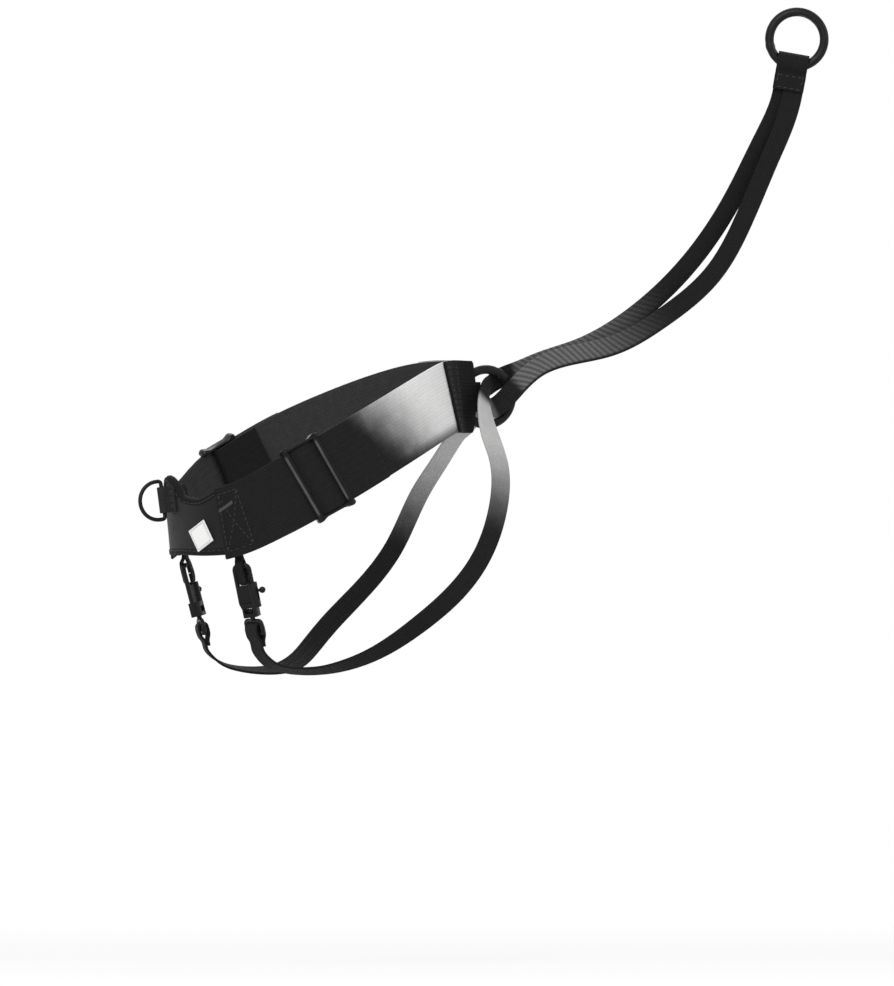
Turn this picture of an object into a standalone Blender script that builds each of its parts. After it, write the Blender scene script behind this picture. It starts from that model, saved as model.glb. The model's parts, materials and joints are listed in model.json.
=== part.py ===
"""A no-pull dog harness in the shape it has when worn.

Metres, +Z up. +X points to the dog's tail and -Y to its left side. The origin is the centre of the
withers ring, on the back. Left pieces are modelled and right pieces are their mirror, apart from the
two straps where they cross inside the withers ring.
"""

import math

import bmesh
import bpy
import numpy as np
from mathutils import Matrix, Vector

MM = 0.001

# Webbing
BAND_WIDTH = 35 * MM
BAND_THICK = 1.4 * MM
STRAP_WIDTH = 10 * MM
STRAP_THICK = 1.3 * MM
TAPE_THICK = 1.0 * MM
GAP = 0.3 * MM

# Withers ring and lead ring
RING_BORE = 23 * MM
RING_WIRE = 4.5 * MM

# Chest yoke, measured from the middle of the chest along the neck loop
YOKE_REACH = 53 * MM
YOKE_CORNER = 4 * MM
SHELL_THICK = 1.6 * MM
LINING_EDGE = 1.2 * MM
LINING_CROWN = 2.0 * MM
BINDING_THICK = 1.0 * MM

# Chest D-ring and its tab
DEE_HEIGHT = 21 * MM
DEE_REACH = 13.2 * MM
DEE_WIRE = 2.0 * MM
DEE_LEVEL = 11 * MM
DEE_TAB_HEIGHT = 13 * MM
DEE_TAB_REACH = 6 * MM

# Patch on the left of the yoke
PATCH_SIDE = 12 * MM
PATCH_THICK = 0.8 * MM
PATCH_PLACE = 24.5 * MM
PATCH_DROP = 4.7 * MM
PATCH_TURN = math.radians(30)

# Shoulder bands and their adjusters, along the neck loop
BAND_LAP = 16 * MM
SLIDER_PLACE = 92.4 * MM
SLIDER_BAR = 3.6 * MM
SLIDER_SLOT = 5.1 * MM
SLIDER_BAR_THICK = 2.0 * MM
SLIDER_CORE_THICK = 1.6 * MM
SLIDER_CORE_LEVEL = -0.4 * MM
SLIDER_RAIL = 2.6 * MM
SLIDER_EAR = 1.2 * MM
SLIDER_SIDE_GAP = 0.5 * MM
BAND_TAIL = 36 * MM
BAND_RETURN = 22 * MM
SHOULDER_TILT = math.radians(11)
CHEST_TILT = math.radians(8)
CHEST_EASE = 50 * MM
SHOULDER_EASE = (20 * MM, 90 * MM)

# Withers sleeve
SLEEVE_LENGTH = 25 * MM
SLEEVE_NECK = 15 * MM
BAND_STOP = 10.5 * MM

# Bolt snap, measured up its own axis from the face of its swivel
SNAP_WIRE = 2.4 * MM
SNAP_SPINE = -4.6 * MM
SNAP_GATE = 3.4 * MM
SNAP_CROWN = 26.3 * MM
SNAP_CORNER = 2.6 * MM
SNAP_TIP = 22.0 * MM
BARREL_RADIUS = 2.5 * MM
BARREL_FOOT = 4.6 * MM
BARREL_TOP = 17 * MM
WEB_TOP = 16 * MM
BORE_FOOT = 5.8 * MM
BOLT_RADIUS = 1.2 * MM
BOLT_FOOT = 11.2 * MM
BOLT_TRAVEL = 3.6 * MM
STUD_LEVEL = 12.8 * MM
STUD_RADIUS = 0.7 * MM
STUD_REACH = 6.6 * MM
STUD_HEAD = 1.7 * MM
SWIVEL_PLATE = 2.0 * MM
SWIVEL_ROOM = 2.8 * MM
SWIVEL_HALF = 3.9 * MM
SWIVEL_DEPTH = 3.0 * MM
SHANK_RADIUS = 1.25 * MM
SHANK_HEAD_RADIUS = 2.0 * MM
SHANK_HEAD = 1.6 * MM
EYE_WIRE = 2.2 * MM
EYE_TOP = -2.2 * MM
EYE_BAR = -8.8 * MM
EYE_CORNER = 1.8 * MM
EYE_TURN = math.radians(60)
STRAP_TAIL = 7.5 * MM
SPRING_WIRE = 0.45 * MM
SPRING_TURNS = 5
SNAP_HANG = 4.4 * MM
SNAP_UP = Vector((-0.24, -0.07, 0.97)).normalized()

# Room round a bar inside a fold of tape or strap
LOOP_ROOM = 0.5 * MM

# Clip tab
CLIP_INSET = 12 * MM
CLIP_WIDTH = 4.0 * MM
CLIP_LEG = 12 * MM

# Lead ring, measured from the withers ring, and its keeper, measured from the lead ring's centre
LEAD_RING_BACK = 168.4 * MM
LEAD_RING_RISE = 179.8 * MM
LEAD_TURN = math.radians(22)
LEAD_LEAN = math.radians(10)
KEEPER_WIDTH = 15.6 * MM
KEEPER_LENGTH = 26 * MM
KEEPER_THICK = 1.0 * MM
KEEPER_SPLAY = 2.6 * MM

# Where the neck loop runs on the left side, from the middle of the chest to the withers
NECK_ROUTE = [
    (-169.5, 0, -62), (-164, -20.5, -64.5), (-156.5, -33.5, -63.5), (-147, -43.8, -59.5), (-134.5, -53, -52),
    (-112.5, -57, -40), (-90.5, -55.5, -28), (-65, -46, -15.5), (-36.5, -26.5, -3.4), (-23.5, -12.6, 0),
    (-17.3, -5.8, 0.1),
]

# Where it closes on the withers ring: place along, multiple of the last half gap, height
NECK_CLOSE = [(-12.5, 2.0, 0), (-7.3, 1.0, 0)]

# Where the left leg strap runs, from below the snap to the mouth of the withers ring, and the way it faces
LEG_ROUTE = [
    ((-133.6, -34.2, -129.8), (-0.8, -0.25, -0.55)), ((-128.6, -32.8, -133.4), (-0.5, -0.25, -0.83)),
    ((-121.4, -31.2, -135.6), (-0.25, -0.25, -0.93)), ((-112, -30, -136.6), (-0.05, -0.3, -0.95)),
    ((-101, -31.4, -136.2), (0, -0.4, -0.92)), ((-88.5, -38, -133), (0, -0.6, -0.8)),
    ((-75.6, -49.5, -125.8), (0, -0.8, -0.6)), ((-60.3, -60, -113.4), (0, -0.95, -0.3)),
    ((-42.3, -64, -97.4), (0, -1, 0)), ((-25.4, -61.5, -76), (0, -1, 0)),
    ((-14.4, -54, -49), (0, -1, 0.1)), ((-9.3, -40, -33), (0, -0.95, 0.3)),
    ((-7, -24, -20.5), (0, -0.95, 0.3)),
]

# The last stretch of each leg strap, into the withers ring
LEFT_CROSSING = [
    ((-5.6, -12.6, -8), (0.3, -0.95, 0)), ((-3.6, -6.8, 0), (0.5, -0.85, 0)),
    ((-0.8, -2.6, 4.6), (0.65, -0.75, 0)), ((2.2, 0.7, 5.9), (0.65, -0.75, 0)),
    ((5, 3.5, 7.2), (0.5, -0.85, 0)), ((8.8, 4.7, 9.2), (0.2, -0.98, 0)),
]
RIGHT_CROSSING = [
    ((-5.6, 12.6, -13.5), (0.3, 0.95, 0)), ((-3.6, 6.8, -9), (0.5, 0.85, 0)),
    ((-0.8, 2.6, -6.8), (0.65, 0.75, 0)), ((2.2, -0.7, -5.8), (0.65, 0.75, 0)),
    ((5, -3.5, -4.2), (0.5, 0.85, 0)), ((8.8, -4.7, -0.6), (0.2, 0.98, 0)),
]

# Where the two strands leave the withers ring
LEFT_STRAND = [(18.5, 4.8, 12.8), (29.5, 3.8, 17.2), (50.5, 3.2, 24), (79.5, 3, 39.5), (114.5, 3, 71)]
RIGHT_STRAND = [
    (17.5, -4.9, 8.2), (27, -4, 15.2), (39.5, -3.4, 19.8), (67.1, -3, 25.8), (94.5, -3, 40), (121.6, -3, 61.9),
]

# Where they come up to the keeper, measured from the lead ring
LEFT_APPROACH = [(-32.9, 2.6, -78.8), (-16.9, 2, -48.8)]
RIGHT_APPROACH = [(-29.1, -2.6, -89.1), (-15.5, -2, -60)]

# Top and bottom edge of the yoke: distance from the middle of the chest, height above the neck loop
YOKE_TOP = [(0, 21.5), (3, 20), (8, 14), (14, 12.2), (22, 12.6), (36, 16.4), (56, 16.8)]
YOKE_BOTTOM = [(0, -16.5), (12, -15), (22, -13.8), (36, -14.2), (46, -15.5), (56, -15)]

# Sizes that follow from the ones above
RING_RADIUS = (RING_BORE + RING_WIRE) / 2
BAND_START = YOKE_REACH - BAND_LAP
CLIP_PLACE = YOKE_REACH - CLIP_INSET
LEAD_RING_CENTRE = Vector((LEAD_RING_BACK, 0, LEAD_RING_RISE))
BAND_LAYER = BAND_THICK + GAP
YOKE_FACE = -(BAND_THICK / 2 + GAP)
SHELL_BACK = YOKE_FACE - SHELL_THICK
LINING_FACE = SHELL_BACK - GAP
LINING_BACK = LINING_FACE - LINING_EDGE
CORE_TOP = SLIDER_CORE_LEVEL + SLIDER_CORE_THICK / 2
OVER_CORE = CORE_TOP + GAP + BAND_THICK / 2
BARS_FOOT = BAND_LAYER + BAND_THICK / 2 + GAP
BARS_TOP = BARS_FOOT + SLIDER_BAR_THICK
BAR_STEP = SLIDER_BAR + SLIDER_SLOT
DEE_BAR_FORWARD = GAP * 2 + TAPE_THICK * 2 + DEE_WIRE / 2
STRAND_DEPTH = (STRAP_THICK + GAP * 1.4) / 2
BEND_STEP = math.radians(14)

# Colours (linear), roughness and metallic value
FINISHES = {
    "yoke panel": ((0.045, 0.045, 0.046), 0.6, 0.0),
    "webbing": ((0.012, 0.012, 0.012), 0.75, 0.0),
    "patch": ((0.78, 0.78, 0.77), 0.7, 0.0),
    "black metal": ((0.012, 0.012, 0.013), 0.35, 0.9),
    "steel": ((0.55, 0.55, 0.56), 0.3, 1.0),
    "black plastic": ((0.014, 0.014, 0.015), 0.45, 0.0),
}


# Scene and materials

def clear_scene():
    for obj in list(bpy.data.objects):
        bpy.data.objects.remove(obj, do_unlink=True)


def finish_material(name):
    material = bpy.data.materials.get(name) or bpy.data.materials.new(name)
    colour, roughness, metallic = FINISHES[name]
    material.use_nodes = True
    shader = material.node_tree.nodes["Principled BSDF"]
    shader.inputs["Base Color"].default_value = (*colour, 1)
    shader.inputs["Roughness"].default_value = roughness
    shader.inputs["Metallic"].default_value = metallic
    return material


def add_piece(name, mesh, finish, origin=Vector((0, 0, 0)), mirrored=False):
    """Turn a bmesh into a named object whose origin lies at the given point."""
    if mirrored:
        mesh.transform(Matrix.Diagonal((1, -1, 1, 1)))
        origin = flip(origin)
    face_out(mesh)
    mesh.transform(Matrix.Translation(-origin))
    data = bpy.data.meshes.new(name)
    mesh.to_mesh(data)
    mesh.free()
    data.shade_smooth()
    data.set_sharp_from_angle(angle=math.radians(40))
    data.materials.append(finish_material(finish))
    obj = bpy.data.objects.new(name, data)
    obj.location = origin
    bpy.context.collection.objects.link(obj)
    return obj


def face_out(mesh):
    bmesh.ops.recalc_face_normals(mesh, faces=mesh.faces)
    if mesh.calc_volume(signed=True) < 0:
        bmesh.ops.reverse_faces(mesh, faces=mesh.faces)


def flip(point):
    return Vector((point[0], -point[1], point[2]))


def combine(first, second, operation):
    """Join or cut two bmeshes with an exact Boolean and give back the result."""
    objects = []
    for mesh in (first, second):
        face_out(mesh)
        data = bpy.data.meshes.new("boolean")
        mesh.to_mesh(data)
        mesh.free()
        obj = bpy.data.objects.new("boolean", data)
        bpy.context.collection.objects.link(obj)
        objects.append(obj)
    modifier = objects[0].modifiers.new("boolean", "BOOLEAN")
    modifier.operation = operation
    modifier.object = objects[1]
    evaluated = objects[0].evaluated_get(bpy.context.evaluated_depsgraph_get())
    result = bmesh.new()
    result.from_mesh(evaluated.to_mesh())
    evaluated.to_mesh_clear()
    for obj in objects:
        bpy.data.objects.remove(obj, do_unlink=True)
    return result


def union(*meshes):
    result = meshes[0]
    for mesh in meshes[1:]:
        result = combine(result, mesh, "UNION")
    return result


# Curves through chosen points

def natural_spline(knots, values, places):
    """A natural cubic through values at the knots, read at the given places."""
    knots = np.asarray(knots, float)
    values = np.asarray(values, float)
    places = np.asarray(places, float)
    count = len(knots)
    step = np.diff(knots)
    slope = np.diff(values, axis=0) / step[:, None]
    system = np.eye(count)
    right = np.zeros_like(values)
    for i in range(1, count - 1):
        system[i, i - 1:i + 2] = (step[i - 1], 2 * (step[i - 1] + step[i]), step[i])
        right[i] = 6 * (slope[i] - slope[i - 1])
    bend = np.linalg.solve(system, right)
    span = np.clip(np.searchsorted(knots, places, side="right") - 1, 0, count - 2)
    h = step[span][:, None]
    a = (knots[span + 1] - places)[:, None]
    b = (places - knots[span])[:, None]
    cubic = (bend[span] * a ** 3 + bend[span + 1] * b ** 3) / (6 * h)
    line = (values[span] / h - bend[span] * h / 6) * a + (values[span + 1] / h - bend[span + 1] * h / 6) * b
    return cubic + line


def firm_spline(knots, values, places):
    """A cubic through values at the knots that keeps between neighbouring values."""
    knots = np.asarray(knots, float)
    values = np.asarray(values, float)
    step = np.diff(knots)[:, None]
    slope = np.diff(values, axis=0) / step
    before, after = slope[:-1], slope[1:]
    weight = step[:-1] + 2 * step[1:], 2 * step[:-1] + step[1:]
    with np.errstate(divide="ignore", invalid="ignore"):
        mean = (weight[0] + weight[1]) / (weight[0] / before + weight[1] / after)
    inner = np.where(before * after > 0, mean, 0)
    grade = np.vstack([slope[:1], inner, slope[-1:]])
    span = np.clip(np.searchsorted(knots, places, side="right") - 1, 0, len(knots) - 2)
    h = step[span]
    t = (np.asarray(places, float) - knots[span])[:, None] / h
    start = values[span] * (1 + 2 * t) * (1 - t) ** 2 + grade[span] * h * t * (1 - t) ** 2
    end = values[span + 1] * t ** 2 * (3 - 2 * t) - grade[span + 1] * h * t ** 2 * (1 - t)
    return start + end


class Curve:
    """A curve through points, read by the distance along it. Extra values can ride along.

    A flowing curve may swing past its points; a firm one never does."""

    FINE = 40

    def __init__(self, points, extras=None, firm=False):
        points = np.array([tuple(p) for p in points], float)
        chord = np.concatenate([[0], np.cumsum(np.linalg.norm(np.diff(points, axis=0), axis=1))])
        parts = [np.linspace(a, b, self.FINE, endpoint=False) for a, b in zip(chord, chord[1:])]
        fine = np.concatenate(parts + [chord[-1:]])
        self.places = (firm_spline if firm else natural_spline)(chord, points, fine)
        steps = np.linalg.norm(np.diff(self.places, axis=0), axis=1)
        self.along = np.concatenate([[0], np.cumsum(steps)])
        self.knots = np.interp(chord, fine, self.along)
        self.length = self.along[-1]
        self.extras = None
        if extras is not None:
            extras = np.array([tuple(e) for e in extras], float)
            self.extras = np.array([np.interp(fine, chord, extras[:, k]) for k in range(extras.shape[1])]).T

    def read(self, table, distance):
        return Vector([float(np.interp(distance, self.along, table[:, k])) for k in range(table.shape[1])])

    def point(self, distance):
        return self.read(self.places, distance)

    def extra(self, distance):
        return self.read(self.extras, distance)

    def tangent(self, distance, reach=0.1 * MM):
        low = max(distance - reach, 0)
        high = min(distance + reach, self.length)
        return (self.point(high) - self.point(low)).normalized()

    def stops(self, spacing):
        """Distances along the curve: closer together where it bends."""
        marks = [0.0]
        turned = 0.0
        fine = np.diff(self.places, axis=0)
        for i in range(1, len(fine)):
            before = Vector(fine[i - 1])
            after = Vector(fine[i])
            turned += before.angle(after, 0)
            if self.along[i] - marks[-1] > spacing or turned > BEND_STEP:
                marks.append(self.along[i])
                turned = 0.0
        if self.length - marks[-1] < 0.3 * spacing and len(marks) > 1:
            marks.pop()
        marks.append(self.length)
        return marks


# The neck loop: a surface read by distance along it, height across it and distance out of it

class NeckLoop:
    def __init__(self):
        close = RING_WIRE / 2 + GAP + BAND_THICK / 2 - BAND_LAYER
        left = [Vector(p) * MM for p in NECK_ROUTE]
        left += [Vector((x * MM, -close * share, z * MM)) for x, share, z in NECK_CLOSE]
        right = [flip(p) for p in reversed(left[1:])]
        self.curve = Curve(right + left)
        self.middle = self.curve.knots[len(right)]
        self.length = self.curve.length - self.middle

    def tilt(self, s):
        """How far the band leans: forward on the chest, inward on the shoulder, upright at the withers."""
        chest = (1 + math.cos(math.pi * min(s / CHEST_EASE, 1))) / 2
        low, high = SHOULDER_EASE
        shoulder = ease((s - low) / (high - low)) * ease((self.length - s) / SLEEVE_LENGTH)
        return SHOULDER_TILT * shoulder - CHEST_TILT * chest

    def frame(self, s):
        """Place, direction along, direction up and direction out at s on the left side (s >= 0)."""
        place = self.curve.point(self.middle + s)
        along = self.curve.tangent(self.middle + s)
        out = Vector((along.y, -along.x, 0)).normalized()
        tilt = self.tilt(s)
        out = out * math.cos(tilt) + Vector((0, 0, math.sin(tilt)))
        out = (out - along * out.dot(along)).normalized()
        return place, along, out.cross(along), out

    def at(self, s, v=0.0, h=0.0):
        place, along, up, out = self.frame(abs(s))
        point = place + up * v + out * h
        return point if s >= 0 else flip(point)


def ease(share):
    """A smooth step from 0 to 1."""
    share = min(max(share, 0), 1)
    return share * share * (3 - 2 * share)


NECK = NeckLoop()


# Solid builders

def ribbon(stations, thick, cells=1):
    """A flat strip. Each station is (place, direction across, width) or has its direction along as well."""
    mesh = bmesh.new()
    rows = []
    for i, (place, across, width, *given) in enumerate(stations):
        before = stations[max(i - 1, 0)][0]
        after = stations[min(i + 1, len(stations) - 1)][0]
        along = given[0] if given else (after - before).normalized()
        across = (across - along * across.dot(along)).normalized()
        face = along.cross(across)
        shares = [1 - 2 * k / cells for k in range(cells + 1)]
        corners = [(a, 1) for a in shares] + [(a, -1) for a in reversed(shares)]
        corners = [place + across * (a * width / 2) + face * (b * thick / 2) for a, b in corners]
        rows.append([mesh.verts.new(corner) for corner in corners])
    skin_rows(mesh, rows)
    return mesh


def skin_rows(mesh, rows, closed=False):
    """Faces between successive rings of points, with flat ends unless the rows close on themselves."""
    pairs = list(zip(rows, rows[1:]))
    if closed:
        pairs.append((rows[-1], rows[0]))
    for low, high in pairs:
        for k in range(len(low)):
            n = (k + 1) % len(low)
            mesh.faces.new((low[k], low[n], high[n], high[k]))
    if not closed:
        mesh.faces.new(rows[0])
        mesh.faces.new(list(reversed(rows[-1])))


def tube(points, radius, sides, closed=False):
    """A round bar along points that lie in one plane or bend gently."""
    mesh = bmesh.new()
    rows = []
    count = len(points)
    side = None
    for i, place in enumerate(points):
        before = points[(i - 1) % count] if closed else points[max(i - 1, 0)]
        after = points[(i + 1) % count] if closed else points[min(i + 1, count - 1)]
        along = (after - before).normalized()
        if side is None:
            side = along.orthogonal()
        side = (side - along * side.dot(along)).normalized()
        other = along.cross(side)
        turns = [2 * math.pi * k / sides for k in range(sides)]
        around = [place + (side * math.cos(t) + other * math.sin(t)) * radius for t in turns]
        rows.append([mesh.verts.new(point) for point in around])
    skin_rows(mesh, rows, closed)
    return mesh


def block(low, high):
    mesh = bmesh.new()
    bmesh.ops.create_cube(mesh, size=1)
    low = Vector(low)
    high = Vector(high)
    size = high - low
    mesh.transform(Matrix.Translation((low + high) / 2) @ Matrix.Diagonal((*size, 1)))
    return mesh


def chamfered(left, right, low, high, cut):
    """Corners of a rectangle with its corners cut off."""
    return [(left + cut, low), (right - cut, low), (right, low + cut), (right, high - cut),
            (right - cut, high), (left + cut, high), (left, high - cut), (left, low + cut)]


def rod(foot, top, radius, sides):
    """A plain cylinder between two points."""
    return tube([Vector(foot), Vector(top)], radius, sides)


def arc(centre, radius, start, end, steps, across, up):
    """Points on an arc in the plane of two directions, angles in degrees."""
    turns = [math.radians(start + (end - start) * k / steps) for k in range(steps + 1)]
    return [centre + (across * math.cos(t) + up * math.sin(t)) * radius for t in turns]


def fold_round(centre, down, facing, radius, spread, tail, lead):
    """Centre line of a strap that comes up one face, goes over a bar and down the other face."""
    reach = radius * 2.2
    swell = radius - spread
    turn = [(reach * k / 4, spread + swell * (1 + math.cos(math.pi * k / 4)) / 2) for k in (4, 3, 2, 1)]
    straight = reach * 1.25
    first = [(max(tail, straight * 1.1), spread), (straight, spread)] + turn
    last = [(max(lead, straight * 1.1), spread), (straight, spread)] + turn
    over = arc(centre, radius, 180, 0, 8, facing, -down)
    return ([centre + down * d - facing * f for d, f in first] + over
            + [centre + down * d + facing * f for d, f in reversed(last)])


def band_strip(profile, width, thick, spacing=3 * MM):
    """A strip on the neck loop along a profile of (distance along, distance out)."""
    curve = Curve([(s, h, 0) for s, h in profile], firm=True)
    marks = curve.stops(spacing)
    bends = NECK.length - SLEEVE_LENGTH
    fine = np.linspace(0, curve.length, int(curve.length / (1.2 * MM)))
    marks = [d for d in marks if curve.point(d)[0] <= bends] + [d for d in fine if curve.point(d)[0] > bends]
    stations = []
    for d in marks:
        s, h, _ = curve.point(d)
        stations.append((NECK.at(s, 0, h), NECK.frame(s)[2], width))
    return ribbon(stations, thick, cells=3)


# Chest yoke

def yoke_edge(s, edge):
    """Height of the yoke's top or bottom edge above the neck loop's middle line, at s from the chest."""
    knots = [k for k, _ in edge]
    place = min(abs(s) / MM, knots[-1])
    return float(natural_spline(knots, [[v] for _, v in edge], [place])[0][0]) * MM


def yoke_columns():
    """Upright lines across the yoke as (distance along, bottom, top), with rounded wing corners."""
    straight = YOKE_REACH - YOKE_CORNER
    places = [straight * k / 22 for k in range(23)]
    places += [straight + YOKE_CORNER * math.sin(math.radians(t)) for t in (22, 42, 60, 76, 90)]
    columns = []
    for s in places:
        over = max(s - straight, 0)
        drop = YOKE_CORNER - math.sqrt(max(YOKE_CORNER ** 2 - over ** 2, 0))
        columns.append((s, yoke_edge(s, YOKE_BOTTOM) + drop, yoke_edge(s, YOKE_TOP) - drop))
    return [(-s, low, high) for s, low, high in reversed(columns[1:])] + columns


def yoke_outline(grow=0.0):
    """Points round the yoke as (distance along, height), the outline pushed out by grow."""
    columns = yoke_columns()
    outline = [(s, high) for s, _, high in columns] + [(s, low) for s, low, _ in reversed(columns)]
    pushed = []
    for i, (s, v) in enumerate(outline):
        before = Vector(outline[i - 1])
        after = Vector(outline[(i + 1) % len(outline)])
        here = Vector((s, v))
        along = ((here - before).normalized() + (after - here).normalized()).normalized()
        pushed.append((s - along.y * grow, v + along.x * grow))
    return pushed


def yoke_layer(front, back):
    """A panel of the yoke's outline between two surfaces, each a function of (distance along, height)."""
    mesh = bmesh.new()
    shares = (0, 0.14, 0.38, 0.62, 0.86, 1)
    rows = []
    for s, low, high in yoke_columns():
        heights = [low + (high - low) * share for share in shares]
        face = [mesh.verts.new(NECK.at(s, v, front(s, v))) for v in heights]
        face += [mesh.verts.new(NECK.at(s, v, back(s, v))) for v in reversed(heights)]
        rows.append(face)
    count = len(shares)
    for low, high in zip(rows, rows[1:]):
        for k in range(len(low)):
            n = (k + 1) % len(low)
            mesh.faces.new((low[k], low[n], high[n], high[k]))
    for row in (rows[0], rows[-1]):
        for k in range(count - 1):
            mesh.faces.new((row[k], row[k + 1], row[-2 - k], row[-1 - k]))
    return mesh


def lining_back(s, v):
    """The lining swells towards the chest in the middle of the panel."""
    top = yoke_edge(s, YOKE_TOP)
    bottom = yoke_edge(s, YOKE_BOTTOM)
    across = min(max((v - bottom) / (top - bottom), 0), 1)
    along = max(1 - (abs(s) / (CLIP_PLACE - CLIP_WIDTH)) ** 2, 0)
    return LINING_BACK - LINING_CROWN * math.sin(math.pi * across) ** 0.7 * along


def build_yoke():
    shell = yoke_layer(lambda s, v: YOKE_FACE, lambda s, v: SHELL_BACK)
    add_piece("chest_yoke_shell", shell, "yoke panel")
    add_piece("chest_yoke_lining", yoke_layer(lambda s, v: LINING_FACE, lining_back), "yoke panel")
    mesh = bmesh.new()
    inner = yoke_outline(GAP)
    outer = yoke_outline(GAP + BINDING_THICK)
    rows = []
    for near, far in zip(inner, outer):
        corners = ((near, LINING_BACK), (near, YOKE_FACE), (far, YOKE_FACE), (far, LINING_BACK))
        rows.append([mesh.verts.new(NECK.at(s, v, h)) for (s, v), h in corners])
    skin_rows(mesh, rows, closed=True)
    add_piece("chest_yoke_binding", mesh, "webbing")


def build_patch():
    place, along, up, out = NECK.frame(PATCH_PLACE)
    foot = YOKE_FACE + GAP
    half = PATCH_SIDE / 2
    mesh = block((-half, -half, foot), (half, half, foot + PATCH_THICK))
    axes = Matrix((along, up, out)).transposed().to_4x4()
    centre = place - up * PATCH_DROP
    mesh.transform(Matrix.Translation(centre) @ axes @ Matrix.Rotation(PATCH_TURN, 4, "Z"))
    add_piece("badge_patch", mesh, "patch")


# Chest ring

def dee_axes():
    """The middle of the D-ring's straight bar, and the directions forward, left and up."""
    _, left, up, forward = NECK.frame(0)
    return NECK.at(0, DEE_LEVEL, YOKE_FACE + DEE_BAR_FORWARD), forward, left, up


def build_chest_ring():
    bar, forward, _, up = dee_axes()
    half = (DEE_HEIGHT - DEE_WIRE) / 2
    corner = DEE_WIRE * 0.75
    leg = max(DEE_REACH - DEE_WIRE / 2 - half, corner)
    points = arc(bar + forward * leg, half, -90, 90, 14, forward, up)
    points += arc(bar + up * (half - corner) + forward * corner, corner, 90, 180, 3, forward, up)
    points += arc(bar - up * (half - corner) + forward * corner, corner, 180, 270, 3, forward, up)
    add_piece("chest_ring", tube(points, DEE_WIRE / 2, 10, closed=True), "black metal", bar)


def build_chest_tab():
    bar, forward, left, up = dee_axes()
    radius = DEE_WIRE / 2 + GAP + TAPE_THICK / 2
    foot = YOKE_FACE + GAP + TAPE_THICK / 2
    turn = TAPE_THICK
    heel = radius + turn
    wing = []
    for k in range(6):
        place = NECK.at(DEE_TAB_REACH - (DEE_TAB_REACH - heel) * k / 6, DEE_LEVEL, foot)
        wing.append(place - up * (place - bar).dot(up))
    heel_centre = NECK.at(0, DEE_LEVEL, foot) + forward * turn + left * heel
    wing += arc(heel_centre, turn, 270, 180, 4, left, forward)
    over = arc(bar, radius, 0, 180, 10, left, forward)
    line = wing + over + [flip(p) for p in reversed(wing)]
    add_piece("chest_ring_tab", ribbon([(p, up, DEE_TAB_HEIGHT) for p in line], TAPE_THICK), "webbing")


# Shoulder bands and adjusters

def build_band(side, mirrored):
    s = SLIDER_PLACE
    near = BAR_STEP - SLIDER_BAR * 0.4
    far = BAR_STEP + SLIDER_BAR * 0.4
    edge = s + SLIDER_BAR * 0.5
    over = OVER_CORE + BAND_LAYER
    lower = [
        (BAND_START, 0), (s - BAR_STEP * 2.4, 0), (s - BAR_STEP * 1.8, BAND_LAYER * 0.5),
        (s - far, BAND_LAYER), (s - near, BAND_LAYER), (s - SLIDER_BAR * 0.7, over), (edge, over),
        (s + near, BAND_LAYER), (s + far, BAND_LAYER), (s + BAND_TAIL, BAND_LAYER),
    ]
    lower = band_strip(lower, BAND_WIDTH, BAND_THICK)
    add_piece(f"{side}_lower_band", lower, "webbing", mirrored=mirrored)
    rise = OVER_CORE - SLIDER_CORE_LEVEL
    turn = Vector((s - SLIDER_BAR * 0.45, SLIDER_CORE_LEVEL, 0))
    fold = arc(turn, rise, -90, -270, 8, Vector((1, 0, 0)), Vector((0, 1, 0)))
    upper = [(s + BAND_RETURN, -BAND_LAYER), (s + far, -BAND_LAYER), (edge, SLIDER_CORE_LEVEL - rise)]
    upper += [(p.x, p.y) for p in fold]
    upper += [(edge, OVER_CORE), (s + near, 0), (s + far, 0), (s + BAND_TAIL, 0)]
    upper += [(NECK.length - BAND_STOP, 0)]
    upper = band_strip(upper, BAND_WIDTH, BAND_THICK)
    add_piece(f"{side}_upper_band", upper, "webbing", mirrored=mirrored)


def build_slider(side, mirrored):
    """Three bars between two end rails with ears, curved to the shoulder; the middle bar sits low."""
    inner = BAND_WIDTH / 2 + SLIDER_SIDE_GAP
    half = SLIDER_BAR / 2
    core_foot = SLIDER_CORE_LEVEL - SLIDER_CORE_THICK / 2
    end = BAR_STEP + half
    bite = 0.6 * MM
    parts = []
    for way in (1, -1):
        rail = bmesh.new()
        rows = []
        for k in range(17):
            x = -end + end * k / 8
            trim = bite if k in (0, 16) else 0
            ear = SLIDER_EAR * (1 - ease(abs(abs(x) - BAR_STEP) / SLIDER_BAR))
            low, high = sorted((way * inner, way * (inner + SLIDER_RAIL - SLIDER_EAR + ear)))
            profile = chamfered(low, high, core_foot + trim, BARS_TOP - trim, bite)
            rows.append([rail.verts.new((x, v, h)) for v, h in profile])
        skin_rows(rail, rows)
        parts.append(rail)
    outer = BARS_FOOT, BARS_TOP - bite / 2
    core = core_foot + bite / 4, CORE_TOP
    for x, (foot, top) in ((-BAR_STEP, outer), (0, core), (BAR_STEP, outer)):
        bar = bmesh.new()
        rows = []
        wide = half - (bite / 2 if x else 0)
        for v in (-inner - bite * 2, inner + bite * 2):
            profile = chamfered(-wide, wide, foot, top, bite)
            rows.append([bar.verts.new((x + p, v, q)) for p, q in profile])
        skin_rows(bar, rows)
        parts.append(bar)
    mesh = union(parts[0], *parts[2:], parts[1])
    for vertex in mesh.verts:
        x, v, h = vertex.co
        vertex.co = NECK.at(SLIDER_PLACE + x, v, h)
    add_piece(f"{side}_slider", mesh, "black plastic", NECK.at(SLIDER_PLACE), mirrored)


# Withers

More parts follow.
